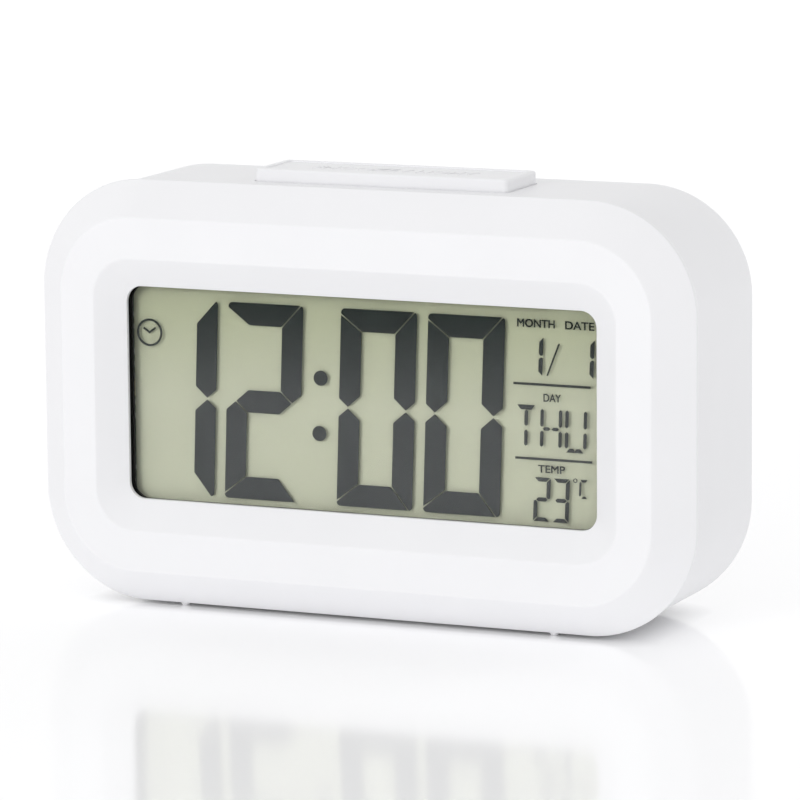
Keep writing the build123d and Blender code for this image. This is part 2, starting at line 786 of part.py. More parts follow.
positive_place = (bay_width / 2 - contact_thickness / 2, cell_places[-1])
negative_place = (-bay_width / 2 + contact_thickness / 2, cell_places[0])
with BuildPart() as rear_housing:
    with BuildSketch(upright(back_y)):
        outline(housing_step)
    extrude(amount=back_y - rim_y)
    fillet(rear_housing.edges().group_by(Axis.Y)[-1], rear_rounding)
    add(housing_core.part, mode=Mode.SUBTRACT)
    with BuildSketch(upright(back_in_y + post_root)):
        with Locations((0, -door_drop)):
            Rectangle(opening_width + 2 * bay_wall, opening_height + 2 * bay_wall)
    extrude(amount=back_in_y + post_root - bay_front_y)
    with BuildSketch(upright(back_in_y + post_root)):
        with Locations(*case_screw_places):
            Circle(tower_radius)
    extrude(amount=back_in_y + post_root - tower_y)
    with BuildSketch(upright(back_in_y + post_root)):
        with Locations(*key_screw_places):
            Circle(key_boss_radius)
    extrude(amount=back_in_y + post_root - key_board_y)
    with BuildSketch(upright(back_in_y + post_root)):
        with Locations((buzzer_x, -buzzer_drop)):
            Circle(buzzer_radius)
            Circle(buzzer_radius - buzzer_ring_wall, mode=Mode.SUBTRACT)
    extrude(amount=buzzer_ring_height + post_root)
    with Locations(*[(x, rear_foot_y, 0) for x in foot_xs]):
        Cone(foot_tip_radius, foot_root_radius, foot_height, align=on_table)
    with Locations(*[(x, rear_foot_y, foot_height) for x in foot_xs]):
        Cylinder(foot_root_radius, housing_step + foot_root_depth, align=on_table)
    fillet(rear_housing.edges().group_by(Axis.Z)[0], foot_rounding)
    with BuildSketch(upright(back_y)):
        with Locations((0, bay_middle)):
            Rectangle(bay_width, bay_height)
    extrude(amount=back_y - bay_floor_y, mode=Mode.SUBTRACT)
    with BuildSketch(upright(back_y)):
        with Locations((0, -door_drop)):
            Rectangle(opening_width, opening_height)
    extrude(amount=back_y - door_seat_y, mode=Mode.SUBTRACT)
    with BuildSketch(upright(back_y)):
        with Locations((0, door_bottom + (hinge_zone - door_gap) / 2)):
            Rectangle(opening_width, hinge_zone + door_gap)
    extrude(amount=2 * hinge_radius + door_gap, mode=Mode.SUBTRACT)
    with BuildSketch(Plane(origin=(0, hinge_y, mid_z + hinge_z), z_dir=(1, 0, 0))):
        Circle(hinge_pin_radius + hinge_pin_gap)
    extrude(amount=door_width / 2 + hinge_pin_length + hinge_end_gap, both=True, mode=Mode.SUBTRACT)
    with BuildSketch(upright(bay_floor_y)):
        with Locations(positive_place, negative_place):
            Rectangle(contact_thickness + 2 * fit_gap, tail_width + 2 * fit_gap)
    extrude(amount=bay_floor, mode=Mode.SUBTRACT)
    with BuildSketch(upright(back_y)):
        with Locations(*case_screw_places):
            Circle(case_screw_head_radius + screw_well_slack)
    extrude(amount=back_y - screw_head_y, mode=Mode.SUBTRACT)
    with BuildSketch(upright(screw_head_y)):
        with Locations(*case_screw_places):
            Circle(case_screw_radius + fit_gap)
    extrude(amount=screw_seat, mode=Mode.SUBTRACT)
    with BuildSketch(upright(key_board_y)):
        with Locations(*key_screw_places):
            Circle(board_screw_radius + screw_slack)
    extrude(amount=-board_screw_length, mode=Mode.SUBTRACT)
    with BuildSketch(upright(back_y)):
        with Locations(*button_places):
            Circle(button_radius + button_gap)
        with Locations((alarm_switch_x, button_rise)):
            Rectangle(knob_width + alarm_travel + 2 * knob_gap, knob_height + 2 * knob_gap)
        with Locations((buzzer_x, -buzzer_drop)):
            Circle(sound_hole_radius)
            with PolarLocations(sound_hole_circle, sound_hole_count):
                Circle(sound_hole_radius)
    extrude(amount=back_wall, mode=Mode.SUBTRACT)
    with BuildSketch(Plane.XY.offset(housing_top)):
        with Locations((0, bar_y)):
            RectangleRounded(bar_length + 2 * bar_gap, bar_depth + 2 * bar_gap, bar_corner + bar_gap)
    extrude(amount=-wall, mode=Mode.SUBTRACT)
rear_housing.part.label = "rear_housing"
export_step(rear_housing.part, "parts/rear_housing.step")

case_screws = screws(
    case_screw_places,
    screw_head_y,
    case_screw_radius,
    screw_seat + case_screw_bite,
    case_screw_head_radius,
    case_screw_head_height,
)
case_screws.part.label = "case_screws"
export_step(case_screws.part, "parts/case_screws.step")

# Battery door: plate with a hinge bar and pins at its lower edge and a sprung tongue at its upper edge
with BuildPart() as battery_door:
    with BuildSketch(upright(back_y)):
        with Locations((0, (door_top + hinge_z) / 2)):
            Rectangle(door_width, door_top - hinge_z)
        with Locations((-tongue_width / 2, door_top - tongue_length / 2)):
            Rectangle(tongue_slot, tongue_length, mode=Mode.SUBTRACT)
        with Locations((tongue_width / 2, door_top - tongue_length / 2)):
            Rectangle(tongue_slot, tongue_length, mode=Mode.SUBTRACT)
        with Locations((0, door_top + latch_nose / 2)):
            Rectangle(latch_width, latch_nose)
    extrude(amount=door_thickness)
    with BuildSketch(Plane(origin=(0, hinge_y, mid_z + hinge_z), z_dir=(1, 0, 0))):
        Circle(hinge_radius)
    extrude(amount=door_width / 2, both=True)
    with BuildSketch(Plane(origin=(0, hinge_y, mid_z + hinge_z), z_dir=(1, 0, 0))):
        Circle(hinge_pin_radius)
    extrude(amount=door_width / 2 + hinge_pin_length, both=True)
    with BuildSketch(upright(back_y + grip_proud)):
        with Locations((0, door_top - tongue_length / 2)):
            with GridLocations(0, grip_pitch, 1, grip_count):
                RectangleRounded(grip_width, grip_height, grip_height * grip_round_share)
    extrude(amount=grip_proud)
battery_door.part.label = "battery_door"
export_step(battery_door.part, "parts/battery_door.step")

# AAA cells, turned end for end in the middle row
for row, rise in enumerate(cell_places):
    way = 1 if row % 2 == 0 else -1
    base_x = way * (bay_width / 2 - contact_thickness - cell_length)
    shoulder_x = base_x + way * (cell_length - cell_nub_height)
    with BuildPart() as cell:
        with BuildSketch(Plane(origin=(base_x, cell_y, mid_z + rise), z_dir=(way, 0, 0))):
            Circle(cell_radius)
        extrude(amount=cell_length - cell_nub_height)
        fillet(cell.edges().filter_by(GeomType.CIRCLE), cell_rounding)
        with BuildSketch(Plane(origin=(shoulder_x, cell_y, mid_z + rise), z_dir=(way, 0, 0))):
            Circle(cell_nub_radius)
        extrude(amount=cell_nub_height)
    cell.part.label = f"battery_{row + 1}"
    export_step(cell.part, f"parts/battery_{row + 1}.step")

# Battery contacts: two single ones with tails, and two that bridge neighbouring cells
contact_rows = [
    (1, [cell_places[-1]], [], True),
    (1, cell_places[:-1], [cell_places[1]], False),
    (-1, cell_places[1:], [cell_places[-1]], False),
    (-1, [cell_places[0]], [cell_places[0]], True),
]
with BuildPart() as battery_contacts:
    for side, rows, sprung, has_tail in contact_rows:
        face_x = side * (bay_width / 2 - contact_thickness)
        plate_x = side * (bay_width / 2 - contact_thickness / 2)
        with BuildSketch(upright(cell_y + contact_depth / 2)):
            with Locations((plate_x, (rows[0] + rows[-1]) / 2)):
                Rectangle(contact_thickness, rows[-1] - rows[0] + contact_width)
        extrude(amount=contact_depth)
        for rise in sprung:
            with BuildSketch(Plane.XY.offset(mid_z + rise)):
                with BuildLine():
                    Polyline(
                        (plate_x, cell_y + spring_half_depth),
                        (face_x - side * (spring_room - fit_gap), cell_y),
                        (face_x - side * spring_free_end, cell_y - spring_half_depth),
                    )
                trace(line_width=spring_strip)
            extrude(amount=spring_width / 2, both=True)
        if has_tail:
            with BuildSketch(upright(cell_y)):
                with Locations((plate_x, rows[0])):
                    Rectangle(contact_thickness, tail_width)
            extrude(amount=cell_y - tail_tip_y)
battery_contacts.part.label = "battery_contacts"
export_step(battery_contacts.part, "parts/battery_contacts.step")

# Button board on two bosses of the housing, with its screws
with BuildPart() as button_board:
    with BuildSketch(upright(key_board_y)):
        with Locations(((key_board_left + key_board_right) / 2, button_rise)):
            Rectangle(key_board_right - key_board_left, key_board_height)
        with Locations(*key_screw_places):
            Circle(board_screw_radius + fit_gap, mode=Mode.SUBTRACT)
    extrude(amount=key_board_thickness)
button_board.part.label = "button_board"
export_step(button_board.part, "parts/button_board.step")

with BuildPart() as button_board_screws:
    with BuildSketch(upright(key_board_front_y)):
        with Locations(*key_screw_places):
            Circle(board_screw_head_radius)
    extrude(amount=board_screw_head_height)
    with BuildSketch(upright(key_board_front_y)):
        with Locations(*key_screw_places):
            Circle(board_screw_radius)
    extrude(amount=-board_screw_length)
    with BuildSketch(upright(key_board_front_y - board_screw_head_height + cross_depth)):
        with Locations(*key_screw_places):
            Rectangle(board_screw_head_radius * cross_length_share, cross_width)
            Rectangle(cross_width, board_screw_head_radius * cross_length_share)
    extrude(amount=cross_depth, mode=Mode.SUBTRACT)
button_board_screws.part.label = "button_board_screws"
export_step(button_board_screws.part, "parts/button_board_screws.step")

# Tactile switches, one behind each rear button
with BuildPart() as tact_switches:
    with BuildSketch(upright(tact_top_y)):
        with Locations(*button_places):
            Rectangle(tact_width, tact_width)
    extrude(amount=tact_height)
    with BuildSketch(upright(tact_top_y)):
        with Locations(*button_places):
            Circle(tact_plunger_radius + plunger_gap)
    extrude(amount=tact_plunger_hidden + tact_travel + fit_gap, mode=Mode.SUBTRACT)
tact_switches.part.label = "tact_switches"
export_step(tact_switches.part, "parts/tact_switches.step")

# Rear buttons, each with the plunger that it presses
for name, place in zip(button_names, button_places):
    with BuildPart() as button:
        with BuildSketch(upright(back_y + button_proud)):
            with Locations(place):
                Circle(button_radius)
        extrude(amount=back_y + button_proud - flange_front_y)
        fillet(button.edges().group_by(Axis.Y)[-1], button_rounding)
        with BuildSketch(upright(flange_back_y)):
            with Locations(place):
                Circle(button_radius + button_flange)
        extrude(amount=button_flange_thickness)
        with BuildSketch(upright(flange_front_y)):
            with Locations(place):
                Circle(button_stem_radius)
        extrude(amount=button_stem_length)
    button.part.label = f"button_{name}"
    export_step(button.part, f"parts/button_{name}.step")
    with BuildPart() as plunger:
        with BuildSketch(upright(plunger_tip_y)):
            with Locations(place):
                Circle(tact_plunger_radius)
        extrude(amount=tact_plunger_proud + tact_plunger_hidden)
    plunger.part.label = f"plunger_{name}"
    export_step(plunger.part, f"parts/plunger_{name}.step")

# Alarm slide switch on the button board, and its knob at the left end of the slot
knob_x = alarm_switch_x - alarm_travel / 2
switch_top_y = key_board_y + alarm_switch_depth
knob_foot_y = switch_top_y - knob_stem_hidden
with BuildPart() as alarm_switch:
    with BuildSketch(upright(switch_top_y)):
        with Locations((alarm_switch_x, button_rise)):
            Rectangle(alarm_switch_width, alarm_switch_height)
    extrude(amount=alarm_switch_depth)
    with BuildSketch(upright(switch_top_y)):
        with Locations((alarm_switch_x, button_rise)):
            Rectangle(knob_stem + alarm_travel + 2 * knob_gap, knob_stem + 2 * knob_gap)
    extrude(amount=knob_stem_hidden + knob_gap, mode=Mode.SUBTRACT)
alarm_switch.part.label = "alarm_switch"
export_step(alarm_switch.part, "parts/alarm_switch.step")

with BuildPart() as alarm_knob:
    with BuildSketch(upright(back_y + knob_proud)):
        with Locations((knob_x, button_rise)):
            Rectangle(knob_width, knob_height)
    extrude(amount=back_y + knob_proud - flange_back_y)
    fillet(alarm_knob.edges().group_by(Axis.Y)[-1], knob_rounding)
    with BuildSketch(upright(back_y + knob_proud)):
        with Locations((knob_x, button_rise)):
            with GridLocations(knob_groove_pitch, 0, knob_groove_count, 1):
                Rectangle(knob_groove, knob_height)
    extrude(amount=knob_groove_depth, mode=Mode.SUBTRACT)
    with BuildSketch(upright(flange_back_y)):
        with Locations((knob_x, button_rise)):
            Rectangle(knob_width + 2 * knob_flange, knob_height + 2 * knob_flange)
    extrude(amount=knob_flange_thickness)
    with BuildSketch(upright(flange_back_y - knob_flange_thickness)):
        with Locations((knob_x, button_rise)):
            Rectangle(knob_stem, knob_stem)
    extrude(amount=flange_back_y - knob_flange_thickness - knob_foot_y)
alarm_knob.part.label = "alarm_knob"
export_step(alarm_knob.part, "parts/alarm_knob.step")

# Ribbon cable: leaves the main board, sags, and rises to the button board
ribbon_span = key_board_front_y - board_back_y
ribbon_run = ribbon_span * ribbon_run_share
with BuildPart() as ribbon_cable:
    with BuildSketch(Plane(origin=(ribbon_x, 0, mid_z), x_dir=(0, 1, 0), z_dir=(1, 0, 0))):
        with BuildLine():
            FilletPolyline(
                (board_back_y, button_rise),
                (board_back_y + ribbon_run, button_rise),
                (board_back_y + ribbon_span / 2, button_rise - ribbon_span * ribbon_sag_share),
                (key_board_front_y - ribbon_run, button_rise),
                (key_board_front_y, button_rise),
                radius=ribbon_span * ribbon_bend_share,
            )
        trace(line_width=ribbon_thickness)
    extrude(amount=ribbon_width / 2, both=True)
ribbon_cable.part.label = "ribbon_cable"
export_step(ribbon_cable.part, "parts/ribbon_cable.step")

# Buzzer disc glued to its ring, with the ceramic element on it
disc_y = back_in_y - buzzer_ring_height
element_y = disc_y - buzzer_thickness
with BuildPart() as buzzer_disc:
    with BuildSketch(upright(disc_y)):
        with Locations((buzzer_x, -buzzer_drop)):
            Circle(buzzer_radius)
    extrude(amount=buzzer_thickness)
buzzer_disc.part.label = "buzzer_disc"
export_step(buzzer_disc.part, "parts/buzzer_disc.step")

with BuildPart() as buzzer_element:
    with BuildSketch(upright(element_y)):
        with Locations((buzzer_x, -buzzer_drop)):
            Circle(element_radius)
    extrude(amount=element_thickness)
buzzer_element.part.label = "buzzer_element"
export_step(buzzer_element.part, "parts/buzzer_element.step")

# Leads: from the battery contacts and from the buzzer to the main board
lead_span = tail_tip_y - board_back_y
lead_run = lead_span * lead_run_share
for name, (x, rise) in (("red", positive_place), ("black", negative_place)):
    z = mid_z + rise
    battery_lead = wire(
        [
            (x, tail_tip_y, z),
            (x, tail_tip_y - lead_run, z),
            (x, board_back_y + lead_run, z + lead_shift),
            (x, board_back_y, z + lead_shift),
        ],
        lead_radius,
        lead_span * lead_bend_share,
    )
    battery_lead.part.label = f"battery_lead_{name}"
    export_step(battery_lead.part, f"parts/battery_lead_{name}.step")

buzzer_z = mid_z - buzzer_drop
buzzer_lead_y = element_y - element_thickness
buzzer_lead_span = buzzer_lead_y - board_back_y
buzzer_lead_run = buzzer_lead_span * buzzer_lead_run_share
for name, aside in (("inner", buzzer_lead_spread / 2), ("outer", -buzzer_lead_spread / 2)):
    board_x = buzzer_lead_edge - board_width / 2 + aside
    buzzer_lead = wire(
        [
            (buzzer_x + aside, buzzer_lead_y, buzzer_z),
            (buzzer_x + aside, buzzer_lead_y - buzzer_lead_run, buzzer_z),
            (board_x, board_back_y + buzzer_lead_run, buzzer_z + buzzer_lead_shift),
            (board_x, board_back_y, buzzer_z + buzzer_lead_shift),
        ],
        buzzer_lead_radius,
        buzzer_lead_span * buzzer_lead_bend_share,
    )
    buzzer_lead.part.label = f"buzzer_lead_{name}"
    export_step(buzzer_lead.part, f"parts/buzzer_lead_{name}.step")
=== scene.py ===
# %% [markdown]
# # A white alarm clock with a liquid crystal display
# The real clock is a moulded white case in two halves, with a display behind a clear lens, a wide push bar
# on top, and buttons and a battery door at the back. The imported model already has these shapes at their
# real size, so none of them is modelled again. This script gives every piece its finish, adds the small
# figures and words, and sets up the light and the camera.

# %% Load the clock
import json
import math

import bmesh
import bpy
from mathutils import Matrix, Vector


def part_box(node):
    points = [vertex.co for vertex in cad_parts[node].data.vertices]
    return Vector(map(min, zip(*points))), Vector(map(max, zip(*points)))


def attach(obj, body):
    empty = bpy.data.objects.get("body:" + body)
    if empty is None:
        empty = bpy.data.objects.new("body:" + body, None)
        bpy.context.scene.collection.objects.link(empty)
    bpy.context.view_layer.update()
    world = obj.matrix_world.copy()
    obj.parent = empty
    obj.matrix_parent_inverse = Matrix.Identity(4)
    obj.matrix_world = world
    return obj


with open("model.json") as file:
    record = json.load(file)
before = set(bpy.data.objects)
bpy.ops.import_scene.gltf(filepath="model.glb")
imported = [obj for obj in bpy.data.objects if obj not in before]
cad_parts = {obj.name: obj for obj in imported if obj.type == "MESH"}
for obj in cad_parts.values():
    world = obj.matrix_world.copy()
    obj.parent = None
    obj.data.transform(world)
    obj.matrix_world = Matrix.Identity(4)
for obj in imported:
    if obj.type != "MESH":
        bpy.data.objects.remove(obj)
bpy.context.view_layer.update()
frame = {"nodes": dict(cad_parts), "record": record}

mm = 0.001
nodes = frame["nodes"]

# %% [markdown]
# ## The camera
# The photograph was taken from a metre away, a little from the right and a little from above, with a long
# lens, so the clock's edges hardly converge. The values below were found by fitting its straight edges.
# A camera could be aimed with a tracking constraint. Writing its matrix from yaw, pitch and roll keeps the
# small roll too.

# %% Camera
camera_place_mm = (402.25, -917.55, 209.44)
camera_yaw = math.radians(23.64)
camera_pitch = math.radians(9.59)
camera_roll = math.radians(-0.49)
focal_length_px = 5282.67
picture_px = 800
sensor_mm = 36.0

backward = Vector(
    (
        math.sin(camera_yaw) * math.cos(camera_pitch),
        -math.cos(camera_yaw) * math.cos(camera_pitch),
        math.sin(camera_pitch),
    )
)
level_right = Vector((math.cos(camera_yaw), math.sin(camera_yaw), 0))
level_up = backward.cross(level_right)
camera_right = math.cos(camera_roll) * level_right + math.sin(camera_roll) * level_up
camera_up = math.cos(camera_roll) * level_up - math.sin(camera_roll) * level_right

lens = bpy.data.cameras.new("camera")
lens.sensor_width = sensor_mm
lens.lens = focal_length_px * sensor_mm / picture_px
camera = bpy.data.objects.new("camera", lens)
turned = Matrix((camera_right, camera_up, backward)).transposed().to_4x4()
camera.matrix_world = Matrix.Translation(Vector(camera_place_mm) * mm) @ turned
bpy.context.scene.collection.objects.link(camera)
bpy.context.scene.camera = camera
bpy.context.scene.view_settings.view_transform = "Standard"
print("lens:", round(lens.lens, 1), "mm")

# %% [markdown]
# ## Colours and nodes
# Colours are written as they are picked on a screen, in sRGB hex, and one function turns them to the linear
# values that the shaders work in. A node tree could be wired by hand, with several lines for each node. One
# function keeps that short: it adds a node, gives it its own settings, then sets each input or links it.
# The Mix node has a socket of each kind under the same name, so its colour sockets are named by their place.

# %% Colour and node helpers
MIX_A = 6
MIX_B = 7
MIX_COLOUR = 2


def linear(hex_colour):
    """An sRGB hex colour as linear red, green and blue, with full alpha."""
    shares = [int(hex_colour[place : place + 2], 16) / 255 for place in (1, 3, 5)]
    return tuple(c / 12.92 if c <= 0.04045 else ((c + 0.055) / 1.055) ** 2.4 for c in shares) + (1.0,)


def add_node(tree, kind, inputs=None, **settings):
    """Adds one node to a tree, with its settings, and sets or links its inputs."""
    node = tree.nodes.new(kind)
    for name, value in settings.items():
        setattr(node, name, value)
    for socket, value in (inputs or {}).items():
        if isinstance(value, bpy.types.NodeSocket):
            tree.links.new(value, node.inputs[socket])
        else:
            node.inputs[socket].default_value = value
    return node


print("a middle grey on the screen is", round(linear("#808080")[0], 3), "in linear light")

# %% [markdown]
# ## Where a finish starts and ends
# Every finish starts from an empty material and ends at the material's output. Its patterns could follow a
# UV map, but the pieces from the model have none. The place on the piece, in metres, needs no map, and it
# gives each pattern its real size.

# %% Start and end of a finish
def start_finish(name):
    """An empty material, its node tree, and the place on the piece in metres."""
    material = bpy.data.materials.new(name)
    material.use_nodes = True
    tree = material.node_tree
    tree.nodes.clear()
    place = add_node(tree, "ShaderNodeTexCoord").outputs["Object"]
    return material, tree, place


def end_finish(material, tree, shader):
    """Joins the finished shader to the material's output."""
    add_node(tree, "ShaderNodeOutputMaterial", {"Surface": shader.outputs[0]})
    print("finish:", material.name)
    return material


# %% [markdown]
# ## White ABS
# Both halves of the case, the push bar and the battery door are injection moulded ABS. The tool was spark
# eroded to a fine satin, so highlights are broad and soft. The eye sees a cool, even white with a hint of
# grain. A picture of such a skin would need a map on every piece. Two noises fit all of them: a slow one
# lets the tone drift, and a fine one drives the satin and a slight bump. The real grain is about 0.05 mm,
# too fine to show, so it is drawn at 0.4 mm. The grey buttons and the black pieces are moulded alike.

# %% Finish: moulded plastics
def satin_moulding(name, pale, dark, roughness):
    """A satin surface between two close tones."""
    material, tree, place = start_finish(name)
    tone_size = 18 * mm
    grain_size = 0.4 * mm
    grain_depth = 0.004 * mm
    satin_swing = 0.03
    tone = add_node(tree, "ShaderNodeTexNoise", {"Vector": place, "Scale": 1 / tone_size, "Detail": 2.0})
    grain = add_node(tree, "ShaderNodeTexNoise", {"Vector": place, "Scale": 1 / grain_size, "Detail": 1.0})
    colour = add_node(
        tree,
        "ShaderNodeMix",
        {"Factor": tone.outputs["Fac"], MIX_A: linear(dark), MIX_B: linear(pale)},
        data_type="RGBA",
    )
    satin = add_node(
        tree,
        "ShaderNodeMapRange",
        {
            "Value": grain.outputs["Fac"],
            "To Min": roughness - satin_swing,
            "To Max": roughness + satin_swing,
        },
    )
    skin = add_node(
        tree,
        "ShaderNodeBump",
        {"Height": grain.outputs["Fac"], "Distance": grain_depth, "Strength": 0.5},
    )
    shader = add_node(
        tree,
        "ShaderNodeBsdfPrincipled",
        {
            "Base Color": colour.outputs[MIX_COLOUR],
            "Roughness": satin.outputs["Result"],
            "IOR": 1.54,
            "Normal": skin.outputs["Normal"],
        },
    )
    return end_finish(material, tree, shader)


white_abs = satin_moulding("moulded_white_abs", "#F6F6F8", "#F2F2F4", roughness=0.38)
grey_abs = satin_moulding("moulded_grey_abs", "#B4B6BA", "#ABADB1", roughness=0.45)
black_plastic = satin_moulding("moulded_black_plastic", "#232425", "#1B1C1D", roughness=0.5)

# %% [markdown]
# ## Clear sheets
# The lens is coated acrylic sheet, so it mirrors little. Behind it lie the two glasses of the display. The
# front one lies on the crystal, so that light hardly sees a step there and it mirrors almost nothing.
# Plain refracting glass would keep the lamps out of the display, because a path tracer can't aim a lamp
# through it. So for shadow rays these finishes are simply transparent. Faint smears vary the polish.

# %% Finish: clear acrylic and display glass
def clear_sheet(name, tint, ior, roughness):
    """A polished clear sheet that lets lamps through."""
    material, tree, place = start_finish(name)
    smear_size = 9 * mm
    smear_swing = 0.5
    smear = add_node(tree, "ShaderNodeTexNoise", {"Vector": place, "Scale": 1 / smear_size, "Detail": 3.0})
    polish = add_node(
        tree,
        "ShaderNodeMapRange",
        {
            "Value": smear.outputs["Fac"],
            "To Min": roughness * (1 - smear_swing),
            "To Max": roughness * (1 + smear_swing),
        },
    )
    glass = add_node(
        tree,
        "ShaderNodeBsdfPrincipled",
        {
            "Base Color": linear(tint),
            "Roughness": polish.outputs["Result"],
            "IOR": ior,
            "Transmission Weight": 1.0,
        },
    )
    clear = add_node(tree, "ShaderNodeBsdfTransparent")
    ray = add_node(tree, "ShaderNodeLightPath")
    shader = add_node(
        tree,
        "ShaderNodeMixShader",
        {0: ray.outputs["Is Shadow Ray"], 1: glass.outputs[0], 2: clear.outputs[0]},
    )
    return end_finish(material, tree, shader)


clear_acrylic = clear_sheet("coated_clear_acrylic", "#FDFEFE", ior=1.16, roughness=0.012)
front_glass = clear_sheet("display_front_glass", "#FBFDFA", ior=1.05, roughness=0.012)

# %% [markdown]
# ## Rear glass of the display
# The rear glass is bonded to the crystal on one face and to a polariser on the other, so light doesn't bend
# there. It could be one more refracting sheet, but that would only add noise to the picture. It is made as
# a thin veil of grey green over the light guide, nearly all alpha.

# %% Finish: polarised rear glass
def polarised_glass():
    """Bonded rear glass, seen only as a faint veil."""
    material, tree, place = start_finish("display_rear_glass")
    patch_size = 25 * mm
    veil = 0.05
    patches = add_node(
        tree, "ShaderNodeTexNoise", {"Vector": place, "Scale": 1 / patch_size, "Detail": 2.0}
    )
    colour = add_node(
        tree,
        "ShaderNodeMix",
        {"Factor": patches.outputs["Fac"], MIX_A: linear("#C9CFBA"), MIX_B: linear("#D3D8C5")},
        data_type="RGBA",
    )
    shader = add_node(
        tree,
        "ShaderNodeBsdfPrincipled",
        {
            "Base Color": colour.outputs[MIX_COLOUR],
            "Roughness": 0.3,
            "Specular IOR Level": 0.1,
            "Alpha": veil,
        },
    )
    return end_finish(material, tree, shader)


rear_glass = polarised_glass()

# %% [markdown]
# ## Liquid crystal
# Where the display is switched on, its liquid crystal turns nearly black. Seen from above the right angle,
# the contrast falls off from the upper edge to the middle, so the dark bars are a soft slate grey from
# there down. A colour that followed the camera would slide about in other views, so the fall is tied to the
# height on the display instead.

# %% Finish: dark liquid crystal
window_low, window_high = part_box("lcd_segments")
fade_from = (window_low.z + window_high.z) / 2


def rise_to_top(tree, place):
    """Zero up to the middle of the display, and from there a rise to one at its upper edge."""
    height = add_node(tree, "ShaderNodeSeparateXYZ", {"Vector": place})
    rise = add_node(
        tree,
        "ShaderNodeMapRange",
        {"Value": height.outputs["Z"], "From Min": fade_from, "From Max": window_high.z},
    )
    return rise.outputs["Result"]


def liquid_crystal():
    """Switched on liquid crystal, darkest at the top of the display."""
    material, tree, place = start_finish("dark_liquid_crystal")
    colour = add_node(
        tree,
        "ShaderNodeMix",
        {"Factor": rise_to_top(tree, place), MIX_A: linear("#4B4C4E"), MIX_B: linear("#1D2422")},
        data_type="RGBA",
    )
    shader = add_node(
        tree,
        "ShaderNodeBsdfPrincipled",
        {"Base Color": colour.outputs[MIX_COLOUR], "Roughness": 0.8, "Specular IOR Level": 0.1},
    )
    return end_finish(material, tree, shader)


dark_segments = liquid_crystal()

# %% [markdown]
# ## Reflecting film
# The film on the light guide, behind the crystal, is a pale grey green. Towards the upper edge it is painted
# darker, as painted shade from the bezel's lip above it. Its reflecting grains give it a faint sparkle. They
# could be flakes with normals of their own, but at this size only their tone shows. They are about 0.1 mm
# across, and drawn at 0.3 mm to show at all.

# %% Finish: reflecting film
def reflecting_film():
    """Grey green reflecting film with a faint sparkle, and painted shade towards the top of the display."""
    material, tree, place = start_finish("grey_green_reflecting_film")
    grain_size = 0.3 * mm
    grain_share = 0.25
    grain = add_node(tree, "ShaderNodeTexNoise", {"Vector": place, "Scale": 1 / grain_size, "Detail": 1.0})
    # The grain adds random tone, and the rise adds painted shade towards the top of the display
    grain_and_painted_shade = add_node(
        tree,
        "ShaderNodeMath",
        {0: grain.outputs["Fac"], 1: grain_share, 2: rise_to_top(tree, place)},
        operation="MULTIPLY_ADD",
        use_clamp=True,
    )
    # The darker colour is where grain or the painted shade darkens the film
    colour = add_node(
        tree,
        "ShaderNodeMix",
        {"Factor": grain_and_painted_shade.outputs[0], MIX_A: linear("#C3C1B0"), MIX_B: linear("#AEAE94")},
        data_type="RGBA",
    )
    shader = add_node(
        tree,
        "ShaderNodeBsdfPrincipled",
        {"Base Color": colour.outputs[MIX_COLOUR], "Roughness": 0.7, "Specular IOR Level": 0.1},
    )
    return end_finish(material, tree, shader)


reflector = reflecting_film()

# %% [markdown]
# ## Foam tape
# A frame of black foam tape closes the gap between the lens and the display, and shows as the dark border
# of the window. It is closed-cell foam, dull and very dark. The cells could be modelled one by one. At
# about 0.3 mm across they are finer than that is worth, so a cell texture gives them tone and bump.

# %% Finish: foam tape
def foam_tape():
    """Black closed-cell foam."""
    material, tree, place = start_finish("black_foam_tape")
    cell_size = 0.3 * mm
    cell_depth = 0.05 * mm
    cells = add_node(tree, "ShaderNodeTexVoronoi", {"Vector": place, "Scale": 1 / cell_size})
    colour = add_node(
        tree,
        "ShaderNodeMix",
        {"Factor": cells.outputs["Distance"], MIX_A: linear("#1E1E1C"), MIX_B: linear("#2A2A27")},
        data_type="RGBA",
    )
    skin = add_node(
        tree,
        "ShaderNodeBump",
        {"Height": cells.outputs["Distance"], "Distance": cell_depth, "Strength": 0.5},
    )
    shader = add_node(
        tree,
        "ShaderNodeBsdfPrincipled",
        {"Base Color": colour.outputs[MIX_COLOUR], "Roughness": 0.9, "Normal": skin.outputs["Normal"]},
    )
    return end_finish(material, tree, shader)


black_foam = foam_tape()

# %% [markdown]
# ## Striped rubber and ribbon
# The zebra strips, which carry the display's contacts, are rubber in many thin layers. The flat cable
# between the boards shows its wires under the skin. Each stripe could be a mesh of its own. A band texture
# at the spacing of the layers or wires gives the same tone and bump. The real layers are about 0.1 mm
# thick and are drawn at 0.5 mm, and the wires lie at their true 1.27 mm.

# %% Finish: layered rubber and ribbon insulation
BAND_RADIANS = 20


def band_scale(spacing):
    """The scale of a band texture, which turns through 20 radians in a metre at scale one."""
    return 2 * math.pi / (BAND_RADIANS * spacing)


def striped_skin(name, first, second, spacing, roughness):
    """Soft plastic or rubber with stripes across X, one for each wire or layer."""
    material, tree, place = start_finish(name)
    stripe_depth = 0.1 * mm
    stripes = add_node(
        tree,
        "ShaderNodeTexWave",
        {"Vector": place, "Scale": band_scale(spacing)},
        wave_type="BANDS",
        bands_direction="X",
    )
    colour = add_node(
        tree,
        "ShaderNodeMix",
        {"Factor": stripes.outputs["Fac"], MIX_A: linear(first), MIX_B: linear(second)},
        data_type="RGBA",
    )
    skin = add_node(
        tree,
        "ShaderNodeBump",
        {"Height": stripes.outputs["Fac"], "Distance": stripe_depth, "Strength": 0.6},
    )
    shader = add_node(
        tree,
        "ShaderNodeBsdfPrincipled",
        {
            "Base Color": colour.outputs[MIX_COLOUR],
            "Roughness": roughness,
            "Normal": skin.outputs["Normal"],
        },
    )
    return end_finish(material, tree, shader)


